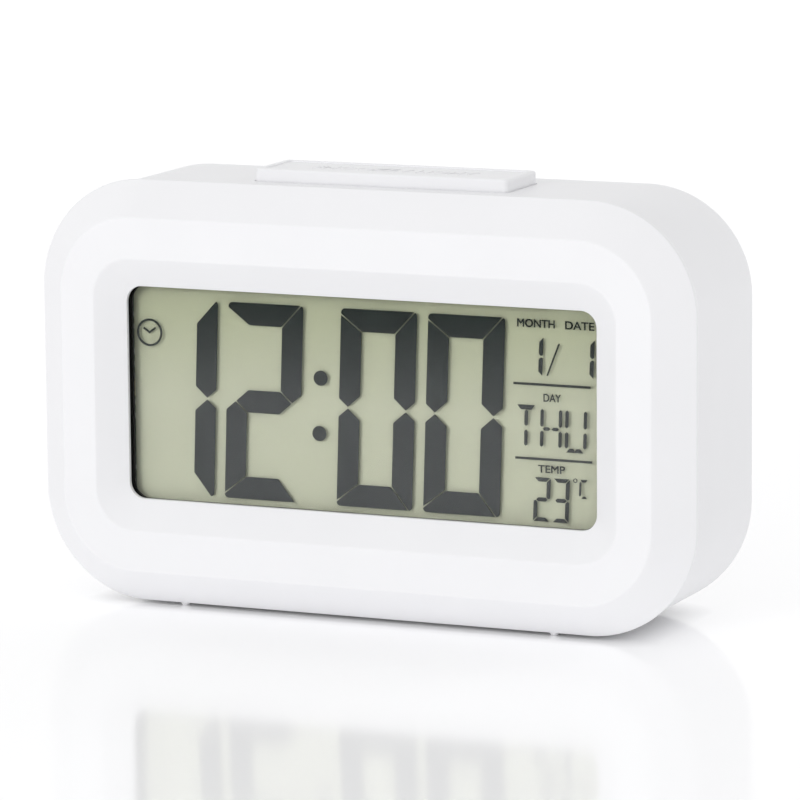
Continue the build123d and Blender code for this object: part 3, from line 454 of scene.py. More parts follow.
zebra_rubber = striped_skin("layered_zebra_rubber", "#7E5558", "#B48D8C", spacing=0.5 * mm, roughness=0.7)
ribbon_grey = striped_skin("grey_ribbon_insulation", "#85878A", "#A5A7AA", spacing=1.27 * mm, roughness=0.5)

# %% [markdown]
# ## Small plain pieces inside
# The leads are sheathed in soft PVC, the drop over the chip is cast epoxy, the LEDs are milky resin and the
# buzzer's element is fired ceramic. Each could have a tree of its own, but they are small and plain, and
# lie inside the closed case. The satin moulding serves them all, with their own tones and gloss.

# %% Finish: insulation, epoxy, resin and ceramic
wire_red = satin_moulding("red_wire_insulation", "#B5231C", "#9F1D18", roughness=0.42)
wire_black = satin_moulding("black_wire_insulation", "#202021", "#161617", roughness=0.42)
black_epoxy = satin_moulding("black_bonding_epoxy", "#1A1B1D", "#101112", roughness=0.28)
led_resin = satin_moulding("milky_led_resin", "#F3ECC9", "#EADFAF", roughness=0.25)
buzzer_ceramic = satin_moulding("fired_piezo_ceramic", "#E4E1D6", "#D6D2C5", roughness=0.6)

# %% [markdown]
# ## Boards
# The boards are glass-fibre sheet under green solder resist. Copper tracks show through the resist as
# paler, slightly raised lines about 0.6 mm wide, and the tinned pads are bright dots. A drawn layout would
# need an image. Bands of a wave texture, bent by noise, give tracks that run together as real ones do, and
# a grid of cells gives the pads.

# %% Finish: green solder resist
def solder_resist():
    """Green solder resist over copper tracks, with tinned pads."""
    material, tree, place = start_finish("green_solder_resist")
    track_spacing = 1.6 * mm
    track_depth = 0.04 * mm
    # Heights of the wave at which a track starts and is full
    track_starts = 0.62
    track_full = 0.72
    # Distances from a pad's middle at which it is still full and ends, as shares of the spacing
    pad_spacing = 2.54 * mm
    pad_full_share = 0.2
    pad_end_share = 0.24
    tracks = add_node(
        tree,
        "ShaderNodeTexWave",
        {"Vector": place, "Scale": band_scale(track_spacing), "Distortion": 6.0, "Detail": 0.0},
        wave_type="BANDS",
        bands_direction="Z",
    )
    track = add_node(
        tree,
        "ShaderNodeMapRange",
        {"Value": tracks.outputs["Fac"], "From Min": track_starts, "From Max": track_full},
    )
    pads = add_node(
        tree,
        "ShaderNodeTexVoronoi",
        {"Vector": place, "Scale": 1 / pad_spacing, "Randomness": 0.35},
    )
    pad = add_node(
        tree,
        "ShaderNodeMapRange",
        {
            "Value": pads.outputs["Distance"],
            "From Min": pad_full_share,
            "From Max": pad_end_share,
            "To Min": 1.0,
            "To Max": 0.0,
        },
    )
    resist = add_node(
        tree,
        "ShaderNodeMix",
        {"Factor": track.outputs["Result"], MIX_A: linear("#0D4A2A"), MIX_B: linear("#1C6B3F")},
        data_type="RGBA",
    )
    colour = add_node(
        tree,
        "ShaderNodeMix",
        {"Factor": pad.outputs["Result"], MIX_A: resist.outputs[MIX_COLOUR], MIX_B: linear("#C9CBCC")},
        data_type="RGBA",
    )
    skin = add_node(
        tree,
        "ShaderNodeBump",
        {"Height": track.outputs["Result"], "Distance": track_depth, "Strength": 0.6},
    )
    shader = add_node(
        tree,
        "ShaderNodeBsdfPrincipled",
        {
            "Base Color": colour.outputs[MIX_COLOUR],
            "Metallic": pad.outputs["Result"],
            "Roughness": 0.3,
            "Normal": skin.outputs["Normal"],
        },
    )
    return end_finish(material, tree, shader)


board_green = solder_resist()

# %% [markdown]
# ## Metals
# The screws and the crystal's can are zinc-plated steel, the battery contacts nickel-plated spring steel,
# and the buzzer's disc rolled brass. Each is a metal with its own tint, and the fine scratches of rolling
# and plating vary its gloss. An anisotropic shader could do that, but needs tangents that these pieces
# don't have. The scratches are noise stretched along X. Real ones are far finer than the 0.2 mm that they
# are drawn at.

# %% Finish: plated steel, nickel and brass
def scratched_metal(name, pale, dark, scratch_length, roughness):
    """A plated or rolled metal with fine scratches along X."""
    material, tree, place = start_finish(name)
    scratch_width = 0.2 * mm
    polish_swing = 0.08
    stretched = add_node(
        tree,
        "ShaderNodeMapping",
        {"Vector": place, "Scale": (1 / scratch_length, 1 / scratch_width, 1 / scratch_width)},
    )
    scratches = add_node(
        tree, "ShaderNodeTexNoise", {"Vector": stretched.outputs[0], "Scale": 1.0, "Detail": 2.0}
    )
    colour = add_node(
        tree,
        "ShaderNodeMix",
        {"Factor": scratches.outputs["Fac"], MIX_A: linear(dark), MIX_B: linear(pale)},
        data_type="RGBA",
    )
    polish = add_node(
        tree,
        "ShaderNodeMapRange",
        {
            "Value": scratches.outputs["Fac"],
            "To Min": roughness - polish_swing,
            "To Max": roughness + polish_swing,
        },
    )
    shader = add_node(
        tree,
        "ShaderNodeBsdfPrincipled",
        {
            "Base Color": colour.outputs[MIX_COLOUR],
            "Metallic": 1.0,
            "Roughness": polish.outputs["Result"],
        },
    )
    return end_finish(material, tree, shader)


screw_steel = scratched_metal(
    "zinc_plated_steel", "#C9CBCE", "#A9ABAF", scratch_length=1 * mm, roughness=0.32
)
nickel_plate = scratched_metal(
    "nickel_plated_steel", "#CFCBC2", "#B7B2A8", scratch_length=4 * mm, roughness=0.25
)
brass = scratched_metal(
    "rolled_brass", "#D9B562", "#C19C4B", scratch_length=6 * mm, roughness=0.3
)

# %% [markdown]
# ## Cells
# An AAA cell is a metal can in a printed sleeve. The sleeve stops short of both ends, where the bare can
# shows, and a pale line runs round it near each end. The sleeve could be a tube of its own round the can.
# A finish needs no more pieces: the can lies along X, so the distance from its middle tells the shader
# where the sleeve ends. The cells don't lie at quite the same place along X, so each gets its own finish.

# %% Finish: sleeved cells
def sleeved_cell(node):
    """A plain green sleeve with a pale line near each end, over a bare can."""
    material, tree, place = start_finish("green_cell_sleeve_" + node)
    low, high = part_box(node)
    middle = (low.x + high.x) / 2
    half_length = (high.x - low.x) / 2
    bare_end = 1.6 * mm
    line_from = 4.0 * mm
    line_to = 5.0 * mm
    split = add_node(tree, "ShaderNodeSeparateXYZ", {"Vector": place})
    offset = add_node(tree, "ShaderNodeMath", {0: split.outputs["X"], 1: middle}, operation="SUBTRACT")
    reach = add_node(tree, "ShaderNodeMath", {0: offset.outputs[0]}, operation="ABSOLUTE")
    bare = add_node(
        tree,
        "ShaderNodeMath",
        {0: reach.outputs[0], 1: half_length - bare_end},
        operation="GREATER_THAN",
    )
    past_line = add_node(
        tree,
        "ShaderNodeMath",
        {0: reach.outputs[0], 1: half_length - line_to},
        operation="GREATER_THAN",
    )
    before_line = add_node(
        tree,
        "ShaderNodeMath",
        {0: reach.outputs[0], 1: half_length - line_from},
        operation="LESS_THAN",
    )
    line = add_node(
        tree,
        "ShaderNodeMath",
        {0: past_line.outputs[0], 1: before_line.outputs[0]},
        operation="MULTIPLY",
    )
    sleeve = add_node(
        tree,
        "ShaderNodeMix",
        {"Factor": line.outputs[0], MIX_A: linear("#2F6B4F"), MIX_B: linear("#D8DCD6")},
        data_type="RGBA",
    )
    colour = add_node(
        tree,
        "ShaderNodeMix",
        {"Factor": bare.outputs[0], MIX_A: sleeve.outputs[MIX_COLOUR], MIX_B: linear("#C4C6C8")},
        data_type="RGBA",
    )
    shader = add_node(
        tree,
        "ShaderNodeBsdfPrincipled",
        {"Base Color": colour.outputs[MIX_COLOUR], "Metallic": bare.outputs[0], "Roughness": 0.3},
    )
    return end_finish(material, tree, shader)


# %% [markdown]
# ## Dressing the pieces
# The model's record names a finish for every piece, as a parts list does. The pieces could be dressed one
# by one. A table from the record's names to the finishes above does it in one loop, and a name that has no
# finish would stop the script. Two kinds of piece go their own way: the rear glass, which shares the front
# glass's name in the record but looks different, and the cells.

# %% Give every piece its finish
finishes = {
    "white_abs": white_abs,
    "grey_abs": grey_abs,
    "black_plastic": black_plastic,
    "clear_acrylic": clear_acrylic,
    "display_glass": front_glass,
    "dark_segments": dark_segments,
    "reflector": reflector,
    "black_foam": black_foam,
    "zebra_rubber": zebra_rubber,
    "ribbon_grey": ribbon_grey,
    "wire_red": wire_red,
    "wire_black": wire_black,
    "black_epoxy": black_epoxy,
    "led_resin": led_resin,
    "buzzer_ceramic": buzzer_ceramic,
    "board_green": board_green,
    "screw_steel": screw_steel,
    "nickel_plate": nickel_plate,
    "brass": brass,
}


def dress(piece, finish):
    """Gives a piece one finish in every slot that it has."""
    if not piece.material_slots:
        piece.data.materials.append(finish)
    for material_slot in piece.material_slots:
        material_slot.material = finish


for subpart in frame["record"]["subparts"]:
    name = subpart["node"]
    if subpart["material_slot"] == "cell_jacket":
        dress(nodes[name], sleeved_cell(name))
    elif name == "lcd_rear_glass":
        dress(nodes[name], rear_glass)
    else:
        dress(nodes[name], finishes[subpart["material_slot"]])

# %% [markdown]
# ## Flat marks
# The display's small figures, its words and the words on the case are all flat: an outline with a little
# thickness. They could be painted by a texture, but closed shapes export cleanly as meshes too. Each is
# drawn in a plane, in millimetres, with its thickness upward. One of three matrices then turns it to face
# the front, to face the back, or to lie on top, and it rides on the body that carries it.

# %% Setting a mark in its place
facing_front = Matrix(((1, 0, 0), (0, 0, -1), (0, 1, 0))).to_4x4()
facing_back = Matrix(((-1, 0, 0), (0, 0, 1), (0, 1, 0))).to_4x4()
facing_up = Matrix.Identity(4)


def set_in_place(name, mesh, facing, place, body, finish):
    """Makes a piece of a flat mesh, turned and moved to its place, riding on a body."""
    mesh.transform(Matrix.Translation(place) @ facing)
    mesh.materials.append(finish)
    piece = bpy.data.objects.new(name, mesh)
    bpy.context.scene.collection.objects.link(piece)
    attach(piece, body)
    return piece


for side, facing in (("front", facing_front), ("back", facing_back), ("top", facing_up)):
    print("marks on the", side, "face", tuple(facing.to_3x3() @ Vector((0, 0, 1))))

# %% [markdown]
# ## Prisms and rings
# Nearly every patch of the display is a flat prism over an outline, and two are rings. A curve with an
# extrusion could make both. Writing the corners and faces into a mesh keeps each patch closed, with only
# the corners that its outline needs.

# %% Prisms and rings
def prism(shape, outline, thickness):
    """Adds a closed prism over an outline of points in millimetres."""
    low = [shape.verts.new((x * mm, y * mm, 0)) for x, y in outline]
    high = [shape.verts.new((x * mm, y * mm, thickness)) for x, y in outline]
    shape.faces.new(low)
    shape.faces.new(high)
    for this in range(len(outline)):
        after = (this + 1) % len(outline)
        shape.faces.new((low[this], low[after], high[after], high[this]))


def ring(shape, middle, outer, inner, thickness, sides):
    """Adds a closed flat ring, with its middle and radii in millimetres."""
    edges = []
    for radius, z in ((outer, 0), (outer, thickness), (inner, thickness), (inner, 0)):
        edge = []
        for side in range(sides):
            turn = 2 * math.pi * side / sides
            x = middle[0] + radius * math.cos(turn)
            y = middle[1] + radius * math.sin(turn)
            edge.append(shape.verts.new((x * mm, y * mm, z)))
        edges.append(edge)
    for one, other in zip(edges, edges[1:] + edges[:1]):
        for side in range(sides):
            after = (side + 1) % sides
            shape.faces.new((one[side], one[after], other[after], other[side]))


def closed_mesh(name, shape):
    """Turns a finished shape into a mesh with its faces outward."""
    bmesh.ops.recalc_face_normals(shape, faces=shape.faces)
    mesh = bpy.data.meshes.new(name)
    shape.to_mesh(mesh)
    shape.free()
    print(name + ":", len(mesh.polygons), "faces")
    return mesh


# %% [markdown]
# ## Gaps between bars
# To the right of the large digits stand the date, the weekday and the temperature, built of bars as the
# large ones are. Neighbouring bars keep a thin gap. Scaling each bar down would leave it uneven, wide at
# the ends and narrow at the sides. Moving every side of an outline in by half the gap keeps it even. The
# new corners lie where neighbouring sides meet. Sizes and places are in millimetres.

# %% Drawing an outline in
bar_gap = 0.2


def drawn_in(outline, gap):
    """A convex outline with each side moved in by a gap."""
    ends = list(zip(outline, outline[1:] + outline[:1]))
    turning = sum(x0 * y1 - x1 * y0 for (x0, y0), (x1, y1) in ends)
    sense = 1 if turning > 0 else -1
    sides = []
    for (x0, y0), (x1, y1) in ends:
        length = math.hypot(x1 - x0, y1 - y0)
        inward = (-(y1 - y0) / length * sense, (x1 - x0) / length * sense)
        sides.append((inward, inward[0] * x0 + inward[1] * y0 + gap))
    corners = []
    for (one, one_reach), (other, other_reach) in zip(sides[-1:] + sides[:-1], sides):
        area = one[0] * other[1] - one[1] * other[0]
        x = (one_reach * other[1] - one[1] * other_reach) / area
        y = (one[0] * other_reach - one_reach * other[0]) / area
        corners.append((x, y))
    return corners


print("gap between bars:", bar_gap, "mm")

# %% [markdown]
# ## Bars of a figure
# Seven bars, mitred at their ends, can show any figure. A font of such figures would need a file, so the
# bars are written as outlines. Only the top, middle and upper right ones are written out, and the others
# mirror them. The whole figure leans to the right by a touch.

# %% Outlines of the seven bars
figure_lean = 0.04


def seven_bars(shown, left, foot, width, height, stroke):
    """Outlines of the bars of one figure, lettered a to g as on any seven-bar display."""
    waist = height / 2
    half = stroke / 2
    top = [(0, height), (width, height), (width - stroke, height - stroke), (stroke, height - stroke)]
    upper_right = [
        (width, height),
        (width, waist + half / 2),
        (width - half, waist),
        (width - stroke, waist + half),
        (width - stroke, height - stroke),
    ]
    middle = [
        (half, waist),
        (stroke, waist + half),
        (width - stroke, waist + half),
        (width - half, waist),
        (width - stroke, waist - half),
        (stroke, waist - half),
    ]
    upper_left = [(width - x, y) for x, y in upper_right]
    bars = {"a": top, "b": upper_right, "f": upper_left, "g": middle}
    for upper, lower in (("a", "d"), ("b", "c"), ("f", "e")):
        bars[lower] = [(x, height - y) for x, y in bars[upper]]
    outlines = []
    for letter in shown:
        drawn = drawn_in(bars[letter], bar_gap / 2)
        outlines.append([(left + x + (y - waist) * figure_lean, foot + y) for x, y in drawn])
    return outlines


print("figures lean by", round(math.degrees(math.atan(figure_lean)), 1), "degrees")

# %% [markdown]
# ## Date
# The date is written with two ones, month and day, and a thin slash between them. The display is wider
# than its window, so the day runs on behind the window's edge. The slash isn't one of the seven bars, so a
# second outline makes straight bars with pointed ends, which the weekday's letters use as well. All
# places on the display count from the middle of the window.

# %% Date
def plain_bar(start, end, stroke, point):
    """A straight bar between two places, with pointed ends."""
    start = Vector(start)
    end = Vector(end)
    along = (end - start).normalized()
    aside = Vector((-along.y, along.x)) * stroke / 2
    near = start + along * point
    far = end - along * point
    return [start, near - aside, far - aside, end, far + aside, near + aside]


date_foot = 7.4
date_width = 3.3
date_height = 7.65
date_stroke = 1.0
month_left = 33.45
day_left = 43.7
slash_top = (39.95, 13.9)
slash_foot = (37.5, 7.65)
slash_stroke = 0.32
slash_point = 0.1

figures = []
for left in (month_left, day_left):
    figures += seven_bars("bc", left, date_foot, date_width, date_height, date_stroke)
figures.append(plain_bar(slash_top, slash_foot, slash_stroke, slash_point))
print("patches with the date:", len(figures))

# %% [markdown]
# ## Weekday
# The weekday's letters have more patches than a figure: stems in two halves, a wedge on top of the T, two
# dashes across the H and a foot of two patches under the U. A font would draw each letter as one line.
# Writing each patch keeps the little gaps of the real display.

# %% Weekday
def wedge(left, right, wide, narrow, left_inset, right_inset):
    """A flat bar with slanting ends, from its wide side's height to its narrow side's."""
    return [(left, wide), (right, wide), (right - right_inset, narrow), (left + left_inset, narrow)]


letter_top = 1.05
letter_waist = -2.4
letter_foot = -5.85
letter_stroke = 0.65
letter_lean = 0.1
waist_gap = 0.35
stem_point = 0.3
stems = {"t": 33.2, "h_left": 36.4, "h_right": 40.1, "u_left": 41.4, "u_right": 45.1}
# The stems without a wedge on top reach higher
stem_rise = 0.3
for stem, x in stems.items():
    top = letter_top if stem == "t" else letter_top + stem_rise
    upper_end = (x, letter_waist + waist_gap)
    lower_end = (x, letter_waist - waist_gap)
    figures.append(plain_bar((x + letter_lean, top), upper_end, letter_stroke, stem_point))
    figures.append(plain_bar(lower_end, (x - letter_lean, letter_foot), letter_stroke, stem_point))

t_bar_height = 0.9
figures.append(
    wedge(
        left=31.5,
        right=35.0,
        wide=letter_top + t_bar_height,
        narrow=letter_top,
        left_inset=0.7,
        right_inset=0.7,
    )
)

dash_lefts = (36.6, 38.35)
dash_length = 1.5
dash_point = 0.35
for left in dash_lefts:
    dash_end = (left + dash_length, letter_waist)
    figures.append(plain_bar((left, letter_waist), dash_end, letter_stroke, dash_point))

u_middle = 43.0
u_foot = -6.6
# Half of the U's foot, as distances from its middle and heights over its foot
u_half = [(1.7, 0), (1.1, 0.75), (0.4, 0.75), (0.05, 0.4), (0.05, 0)]
for side in (-1, 1):
    figures.append([(u_middle + side * across, u_foot + rise) for across, rise in u_half])
print("patches with the weekday:", len(figures))

# %% [markdown]
# ## Temperature
# The temperature is a two and a three of seven bars, a small ring for the degrees and a narrow C of three
# patches. Two thin rules part the three fields of the display. The ring isn't an outline, so it waits for
# the next cell, and the rules are wedges with no slant.

# %% Temperature and rules
temp_foot = -20.15
temp_width = 3.5
temp_height = 8.55
temp_stroke = 0.95
# The bars of each figure, and its left edge
temp_figures = {"abged": 34.6, "abgcd": 38.45}
for shown, left in temp_figures.items():
    figures += seven_bars(shown, left, temp_foot, temp_width, temp_height, temp_stroke)

c_top_bar = wedge(left=44.15, right=45.55, wide=-11.6, narrow=-12.1, left_inset=0.3, right_inset=0.4)
c_stem = plain_bar((44.15, -12.0), (44.0, -14.8), stroke=0.4, point=0.2)
c_foot_bar = wedge(left=44.3, right=45.4, wide=-15.2, narrow=-14.75, left_inset=0.35, right_inset=0.35)
figures += [c_top_bar, c_stem, c_foot_bar]

rule_length = 15.5
rule_stroke = 0.45
rule_corners = ((30.7, 5.72), (31.0, -8.42))
for left, foot in rule_corners:
    figures.append(wedge(left, left + rule_length, foot, foot + rule_stroke, 0, 0))
print("patches with the temperature and the rules:", len(figures))

# %% [markdown]
# ## One layer of crystal
# The small figures are patches of the same liquid crystal as the large digits, between the same two
# glasses, so they take their depth and thickness from these. Each patch could be a piece of its own. On
# the real glass one etching makes them all, so here they share one mesh.

# %% Small figures of the display
crystal_thickness = window_high.y - window_low.y
lens_low, lens_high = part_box("display_lens")
window_middle = (lens_low + lens_high) / 2
crystal_place = Vector((0, window_high.y, window_middle.z))


def set_in_display(name, mesh):
    """Sets a flat mesh into the crystal layer of the display."""
    return set_in_place(name, mesh, facing_front, crystal_place, "case", dark_segments)


degree_middle = (43.1, -11.85)
degree_radius = 0.42
degree_inner = 0.26
degree_sides = 16

shape = bmesh.new()
for outline in figures:
    prism(shape, outline, crystal_thickness)
ring(shape, degree_middle, degree_radius, degree_inner, crystal_thickness, degree_sides)
set_in_display("display_small_figures", closed_mesh("display_small_figures", shape))

# %% [markdown]
# ## Clock face
# At the left of the display a little clock face marks the time: a ring with two hands in it. It could be a
# letter of a symbol font. A ring and one outline for both hands give it without a file.

# %% Clock face
face_middle = (-45.0, 11.4)
face_radius = 2.7
face_stroke = 0.42
face_sides = 48
# Both hands as one outline round the face's middle: left tip, lower elbow, right tip and upper elbow
hands = [(-1.15, 1.0), (-1.4, 0.7), (0, -0.25), (1.4, 0.85), (1.15, 1.15), (0, 0.25)]

shape = bmesh.new()
ring(shape, face_middle, face_radius, face_radius - face_stroke, crystal_thickness, face_sides)
prism(shape, [(face_middle[0] + x, face_middle[1] + y) for x, y in hands], crystal_thickness)
set_in_display("display_clock_face", closed_mesh("display_clock_face", shape))

# %% [markdown]
# ## Letters
# The words of the display and the case are in a plain upright face without serifs, close to Blender's own
# font. A text object could stay as it is, but a piece of the clock should be a closed mesh. So the text is
# turned to one, its side walls are moved out by a weight that makes it bolder, and the whole is brought to
# its size. A width is given where the real words are narrower or wider than the font.

# %% Letters as closed shapes
# In the font's own units, in which a capital is about 0.7 high
letter_half_depth = 0.5
weld_distance = 0.0002
# A face is a side wall where its normal rises by less than this
upright_limit = 0.5


def letter_shape(name, words, weight):
    """Words as a closed shape in the font's own units, made bolder by a weight."""
    curve = bpy.data.curves.new(name, "FONT")
    curve.body = words
    curve.extrude = letter_half_depth
    holder = bpy.data.objects.new(name, curve)
    bpy.context.scene.collection.objects.link(holder)
    graph = bpy.context.evaluated_depsgraph_get()
    mesh = bpy.data.meshes.new_from_object(holder.evaluated_get(graph))
    bpy.data.objects.remove(holder)
    bpy.data.curves.remove(curve)
    shape = bmesh.new()
    shape.from_mesh(mesh)
    bpy.data.meshes.remove(mesh)
    bmesh.ops.remove_doubles(shape, verts=shape.verts, dist=weld_distance)
    bmesh.ops.recalc_face_normals(shape, faces=shape.faces)
    shifts = []
    for point in shape.verts:
        walls = [face.normal for face in point.link_faces if abs(face.normal.z) < upright_limit]
        shifts.append(sum(walls, Vector()).normalized() * weight)
    for point, shift in zip(shape.verts, shifts):
        point.co += shift
    return shape


def lettering(name, words, middle, foot, height, thickness, weight, width=None):
    """Words as a flat mesh over a middle, in the font's proportions unless a width is given."""
    shape = letter_shape(name, words, weight)
    xs = [point.co.x for point in shape.verts]
    ys = [point.co.y for point in shape.verts]
    tall = height * mm / (max(ys) - min(ys))
    wide = width * mm / (max(xs) - min(xs)) if width else tall
    centre = (min(xs) + max(xs)) / 2
    for point in shape.verts:
        point.co = (
            middle * mm + (point.co.x - centre) * wide,
            foot * mm + (point.co.y - min(ys)) * tall,
            (point.co.z + letter_half_depth) * thickness,
        )
    return closed_mesh(name, shape)


# %% [markdown]
# ## Words on the display
# Each field of the display has its word over it. They are patches of crystal too, switched on all the time.
# They could share one size, but the real ones differ a little in size and weight, and so do these.

# %% Words on the display
# Each row gives the words, their middle, width, foot and height in millimetres, and their weight
display_words = {
    "month": ("MONTH", 35.3, 7.6, 16.65, 1.6, 0.03),
    "date": ("DATE", 44.05, 5.8, 16.65, 1.55, 0.024),
    "day": ("DAY", 38.5, 3.5, 2.75, 1.5, 0.018),
    "temp": ("TEMP", 38.325, 5.45, -10.75, 1.45, 0.018),
}
for key, (words, middle, width, foot, height, weight) in display_words.items():
    name = "display_word_" + key
    mesh = lettering(name, words, middle, foot, height, crystal_thickness, weight, width)
    set_in_display(name, mesh)
print("words on the display:", ", ".join(display_words))

# %% [markdown]
# ## Words on the push bar
# The push bar carries its two uses in raised letters, moulded with it and so in the same white. They stand
# in the bar's shallow dish, where a thumb doesn't wear them. A bump in the finish would look alike from
# afar, but only a real step throws a shadow and exports.

# %% Raised words on the push bar
bar_low, bar_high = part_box("snooze_bar")
dish_depth = 0.25 * mm
raised_height = 0.1 * mm
bar_word_height = 3.2
bar_word_weight = 0.01
bar_middle = Vector(
    ((bar_low.x + bar_high.x) / 2, (bar_low.y + bar_high.y) / 2, bar_high.z - dish_depth)
)
bar_words = lettering(
    "snooze_bar_words",
    "SNOOZE / LIGHT",
    middle=0,
    foot=-bar_word_height / 2,
    height=bar_word_height,
    thickness=raised_height,
    weight=bar_word_weight,
)
set_in_place("snooze_bar_words", bar_words, facing_up, bar_middle, "snooze", white_abs)
print("bar words at height", round(bar_middle.z / mm, 2), "mm")

# %% [markdown]
# ## Printing ink
# At the back, each button has its word above it, pad printed in grey ink. The ink is a matt film with an
# edge only a few hundredths of a millimetre high, a little uneven where the pad lifted. One flat grey would
# look like a sticker, so a noise moves it between two close ones.

# %% Finish: printing ink
def printing_ink():
    """Grey pad-printed ink, a little uneven."""
    material, tree, place = start_finish("grey_printing_ink")
    patch_size = 0.6 * mm
    patches = add_node(
        tree, "ShaderNodeTexNoise", {"Vector": place, "Scale": 1 / patch_size, "Detail": 2.0}
    )
    colour = add_node(
        tree,
        "ShaderNodeMix",
        {"Factor": patches.outputs["Fac"], MIX_A: linear("#6F7276"), MIX_B: linear("#808387")},
        data_type="RGBA",
    )
    shader = add_node(
        tree, "ShaderNodeBsdfPrincipled", {"Base Color": colour.outputs[MIX_COLOUR], "Roughness": 0.55}
    )
    return end_finish(material, tree, shader)


ink = printing_ink()

# %% [markdown]
# ## Words at the back
# The words could be part of the housing's finish, but a thin closed film stays sharp at any distance. Each
# takes its place from the button or the end of the switch that it belongs to, so it moves along if the
# model changes. The back's own plane lies below the grip on the battery door, which stands proud of it.

# %% Printed words at the back
grip_proud = 0.35 * mm
back_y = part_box("battery_door")[1].y - grip_proud
ink_thickness = 0.03 * mm
ink_weight = 0.015
back_word_height = 1.7
button_word_gap = 0.5 * mm
switch_word_gap = 1.6 * mm
switch_word_inset = 1.5 * mm


def print_word(name, words, middle_x, foot_z):
    """Prints one word on the back, over its middle, as read from behind."""
    mesh = lettering(name, words, 0, 0, back_word_height, ink_thickness, ink_weight)
    set_in_place(name, mesh, facing_back, Vector((middle_x, back_y, foot_z)), "case", ink)


for key in ("mode", "set", "up", "down", "alarm"):
    low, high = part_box("button_" + key)
    print_word("back_word_" + key, key.upper(), (low.x + high.x) / 2, high.z + button_word_gap)
switch_low, switch_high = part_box("alarm_switch")
switch_word_foot = switch_high.z + switch_word_gap
print_word("back_word_off", "OFF", switch_low.x + switch_word_inset, switch_word_foot)
print_word("back_word_on", "ON", switch_high.x - switch_word_inset, switch_word_foot)
print("words at the back in the plane at", round(back_y / mm, 2), "mm")

# %% [markdown]
# ## Light of the tent
# The photograph was taken in a white tent: light comes from all around, and more from the front. Walls of
# lit cloth could be built round the clock. The world does the same with no geometry: even light, with a
# share that grows towards the front. It shows as plain white to the camera, in mirrors and through glass,
# and is a little dimmer as a source, so that the white case doesn't clip.

# %% World
tent_light = 0.71
tent_lead = (0, -0.3, 0)

world = bpy.data.worlds.new("white_tent")
bpy.context.scene.world = world
world.use_nodes = True
tent = world.node_tree
tent.nodes.clear()
direction = add_node(tent, "ShaderNodeTexCoord").outputs["Generated"]
lead = add_node(tent, "ShaderNodeVectorMath", {0: direction, 1: tent_lead}, operation="DOT_PRODUCT")
front = add_node(tent, "ShaderNodeMath", {0: lead.outputs["Value"], 1: 0.0}, operation="MAXIMUM")
light = add_node(tent, "ShaderNodeMath", {0: front.outputs[0], 1: tent_light}, operation="ADD")
ray = add_node(tent, "ShaderNodeLightPath")
mirrored = add_node(
    tent,
    "ShaderNodeMath",
    {0: ray.outputs["Is Camera Ray"], 1: ray.outputs["Is Glossy Ray"]},
    operation="MAXIMUM",
)
seen = add_node(
    tent,
    "ShaderNodeMath",
    {0: mirrored.outputs[0], 1: ray.outputs["Is Transmission Ray"]},
    operation="MAXIMUM",
)
strength = add_node(
    tent, "ShaderNodeMapRange", {"Value": seen.outputs[0], "To Min": light.outputs[0], "To Max": 1.0}
)
sky = add_node(
    tent, "ShaderNodeBackground", {"Color": linear("#FFFFFF"), "Strength": strength.outputs["Result"]}
)
add_node(tent, "ShaderNodeOutputWorld", {"Surface": sky.outputs[0]})
print("tent light:", tent_light, "and at the front", tent_light - tent_lead[1])

# %% [markdown]
# ## Lamps
# The digits throw a soft shadow on the film behind them, to the right as the camera sees it. Light from all
# around can't do that, and a sun would draw the shadow too hard. A lamp half a metre wide, nearly in front
# of the clock and a little to its left, gives it. A second one behind keeps the back from going grey.

# %% Lamps
# In metres and watts
lamp_size = 0.5
key_place = Vector((-0.5, -2.0, 0.5))
key_power = 7.2
fill_place = Vector((1.2, 1.6, 0.6))
fill_power = 3.2


def soft_lamp(name, place, power):
    """A square lamp that faces the clock and doesn't show as a bright patch in glossy faces."""
    lamp = bpy.data.lights.new(name, "AREA")
    lamp.shape = "SQUARE"
    lamp.size = lamp_size
    lamp.energy = power
    holder = bpy.data.objects.new(name, lamp)
    holder.location = place
    holder.rotation_euler = (window_middle - place).to_track_quat("-Z", "Y").to_euler()
    holder.visible_glossy = False
    bpy.context.scene.collection.objects.link(holder)
    print(name + ":", power, "W at", round((window_middle - place).length, 2), "m")


soft_lamp("key_lamp", key_place, key_power)
soft_lamp("fill_lamp", fill_place, fill_power)

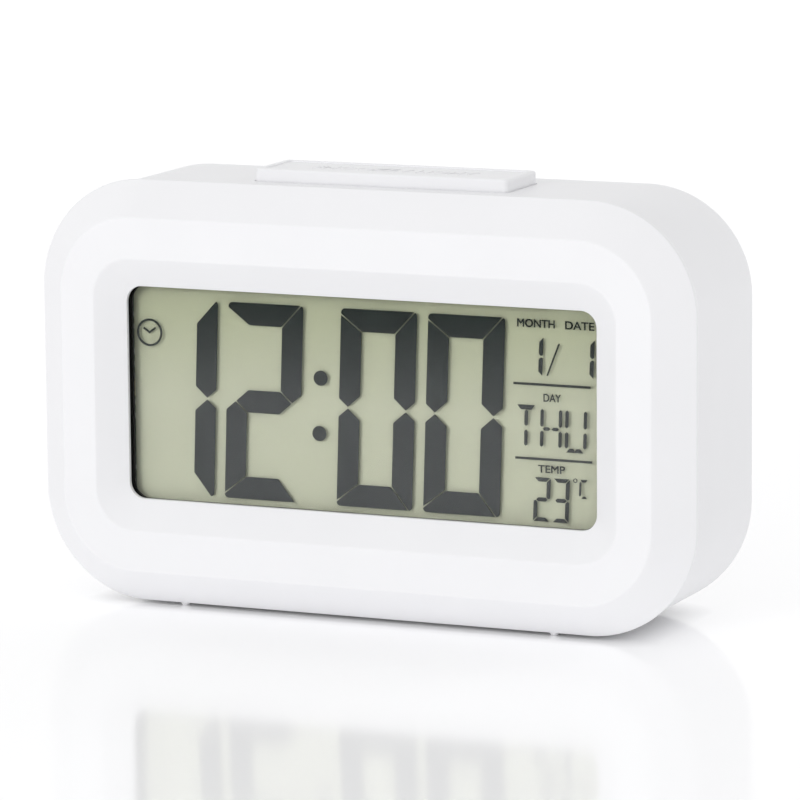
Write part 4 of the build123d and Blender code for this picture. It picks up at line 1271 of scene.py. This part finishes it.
# %% [markdown]
# ## Floor
# The clock stands on glossy white acrylic that mirrors it faintly and a little blurred. A shadow catcher
# over a white background would lose that mirrored image. A real sheet keeps it, and a faint glow lifts the
# sheet to the white of the tent. The glow would also light up the thin dark line under the clock, so an
# ambient occlusion node keeps it out where something stands within a few millimetres.

# %% Finish: glossy white acrylic
floor_glow = 0.16
shadow_reach = 5 * mm
shadow_samples = 8
floor_smoothest = 0.08
floor_roughest = 0.12


def white_acrylic():
    """Glossy white sheet, lifted to the white of the tent except right under the clock."""
    material, tree, place = start_finish("glossy_white_acrylic")
    wave_size = 60 * mm
    waves = add_node(tree, "ShaderNodeTexNoise", {"Vector": place, "Scale": 1 / wave_size})
    polish = add_node(
        tree,
        "ShaderNodeMapRange",
        {"Value": waves.outputs["Fac"], "To Min": floor_smoothest, "To Max": floor_roughest},
    )
    open_sky = add_node(
        tree, "ShaderNodeAmbientOcclusion", {"Distance": shadow_reach}, samples=shadow_samples
    )
    lift = add_node(
        tree, "ShaderNodeMath", {0: open_sky.outputs["AO"], 1: floor_glow}, operation="MULTIPLY"
    )
    shader = add_node(
        tree,
        "ShaderNodeBsdfPrincipled",
        {
            "Base Color": linear("#F9F9FA"),
            "Roughness": polish.outputs["Result"],
            "IOR": 1.49,
            "Emission Color": linear("#FFFFFF"),
            "Emission Strength": lift.outputs[0],
        },
    )
    return end_finish(material, tree, shader)


floor_acrylic = white_acrylic()

# %% [markdown]
# ## Floor sheet
# A plain square would show its corners in the high views. A wide disc has none, and its rim lies so far out
# that it melts into the white around it. It belongs to the stage and not to the clock.

# %% Floor sheet
floor_radius = 4.0
floor_sides = 96

shape = bmesh.new()
bmesh.ops.create_circle(shape, cap_ends=True, radius=floor_radius, segments=floor_sides)
floor_mesh = bpy.data.meshes.new("floor")
shape.to_mesh(floor_mesh)
shape.free()
floor_mesh.materials.append(floor_acrylic)
floor = bpy.data.objects.new("floor", floor_mesh)
bpy.context.scene.collection.objects.link(floor)
print("floor:", floor_radius, "m radius")
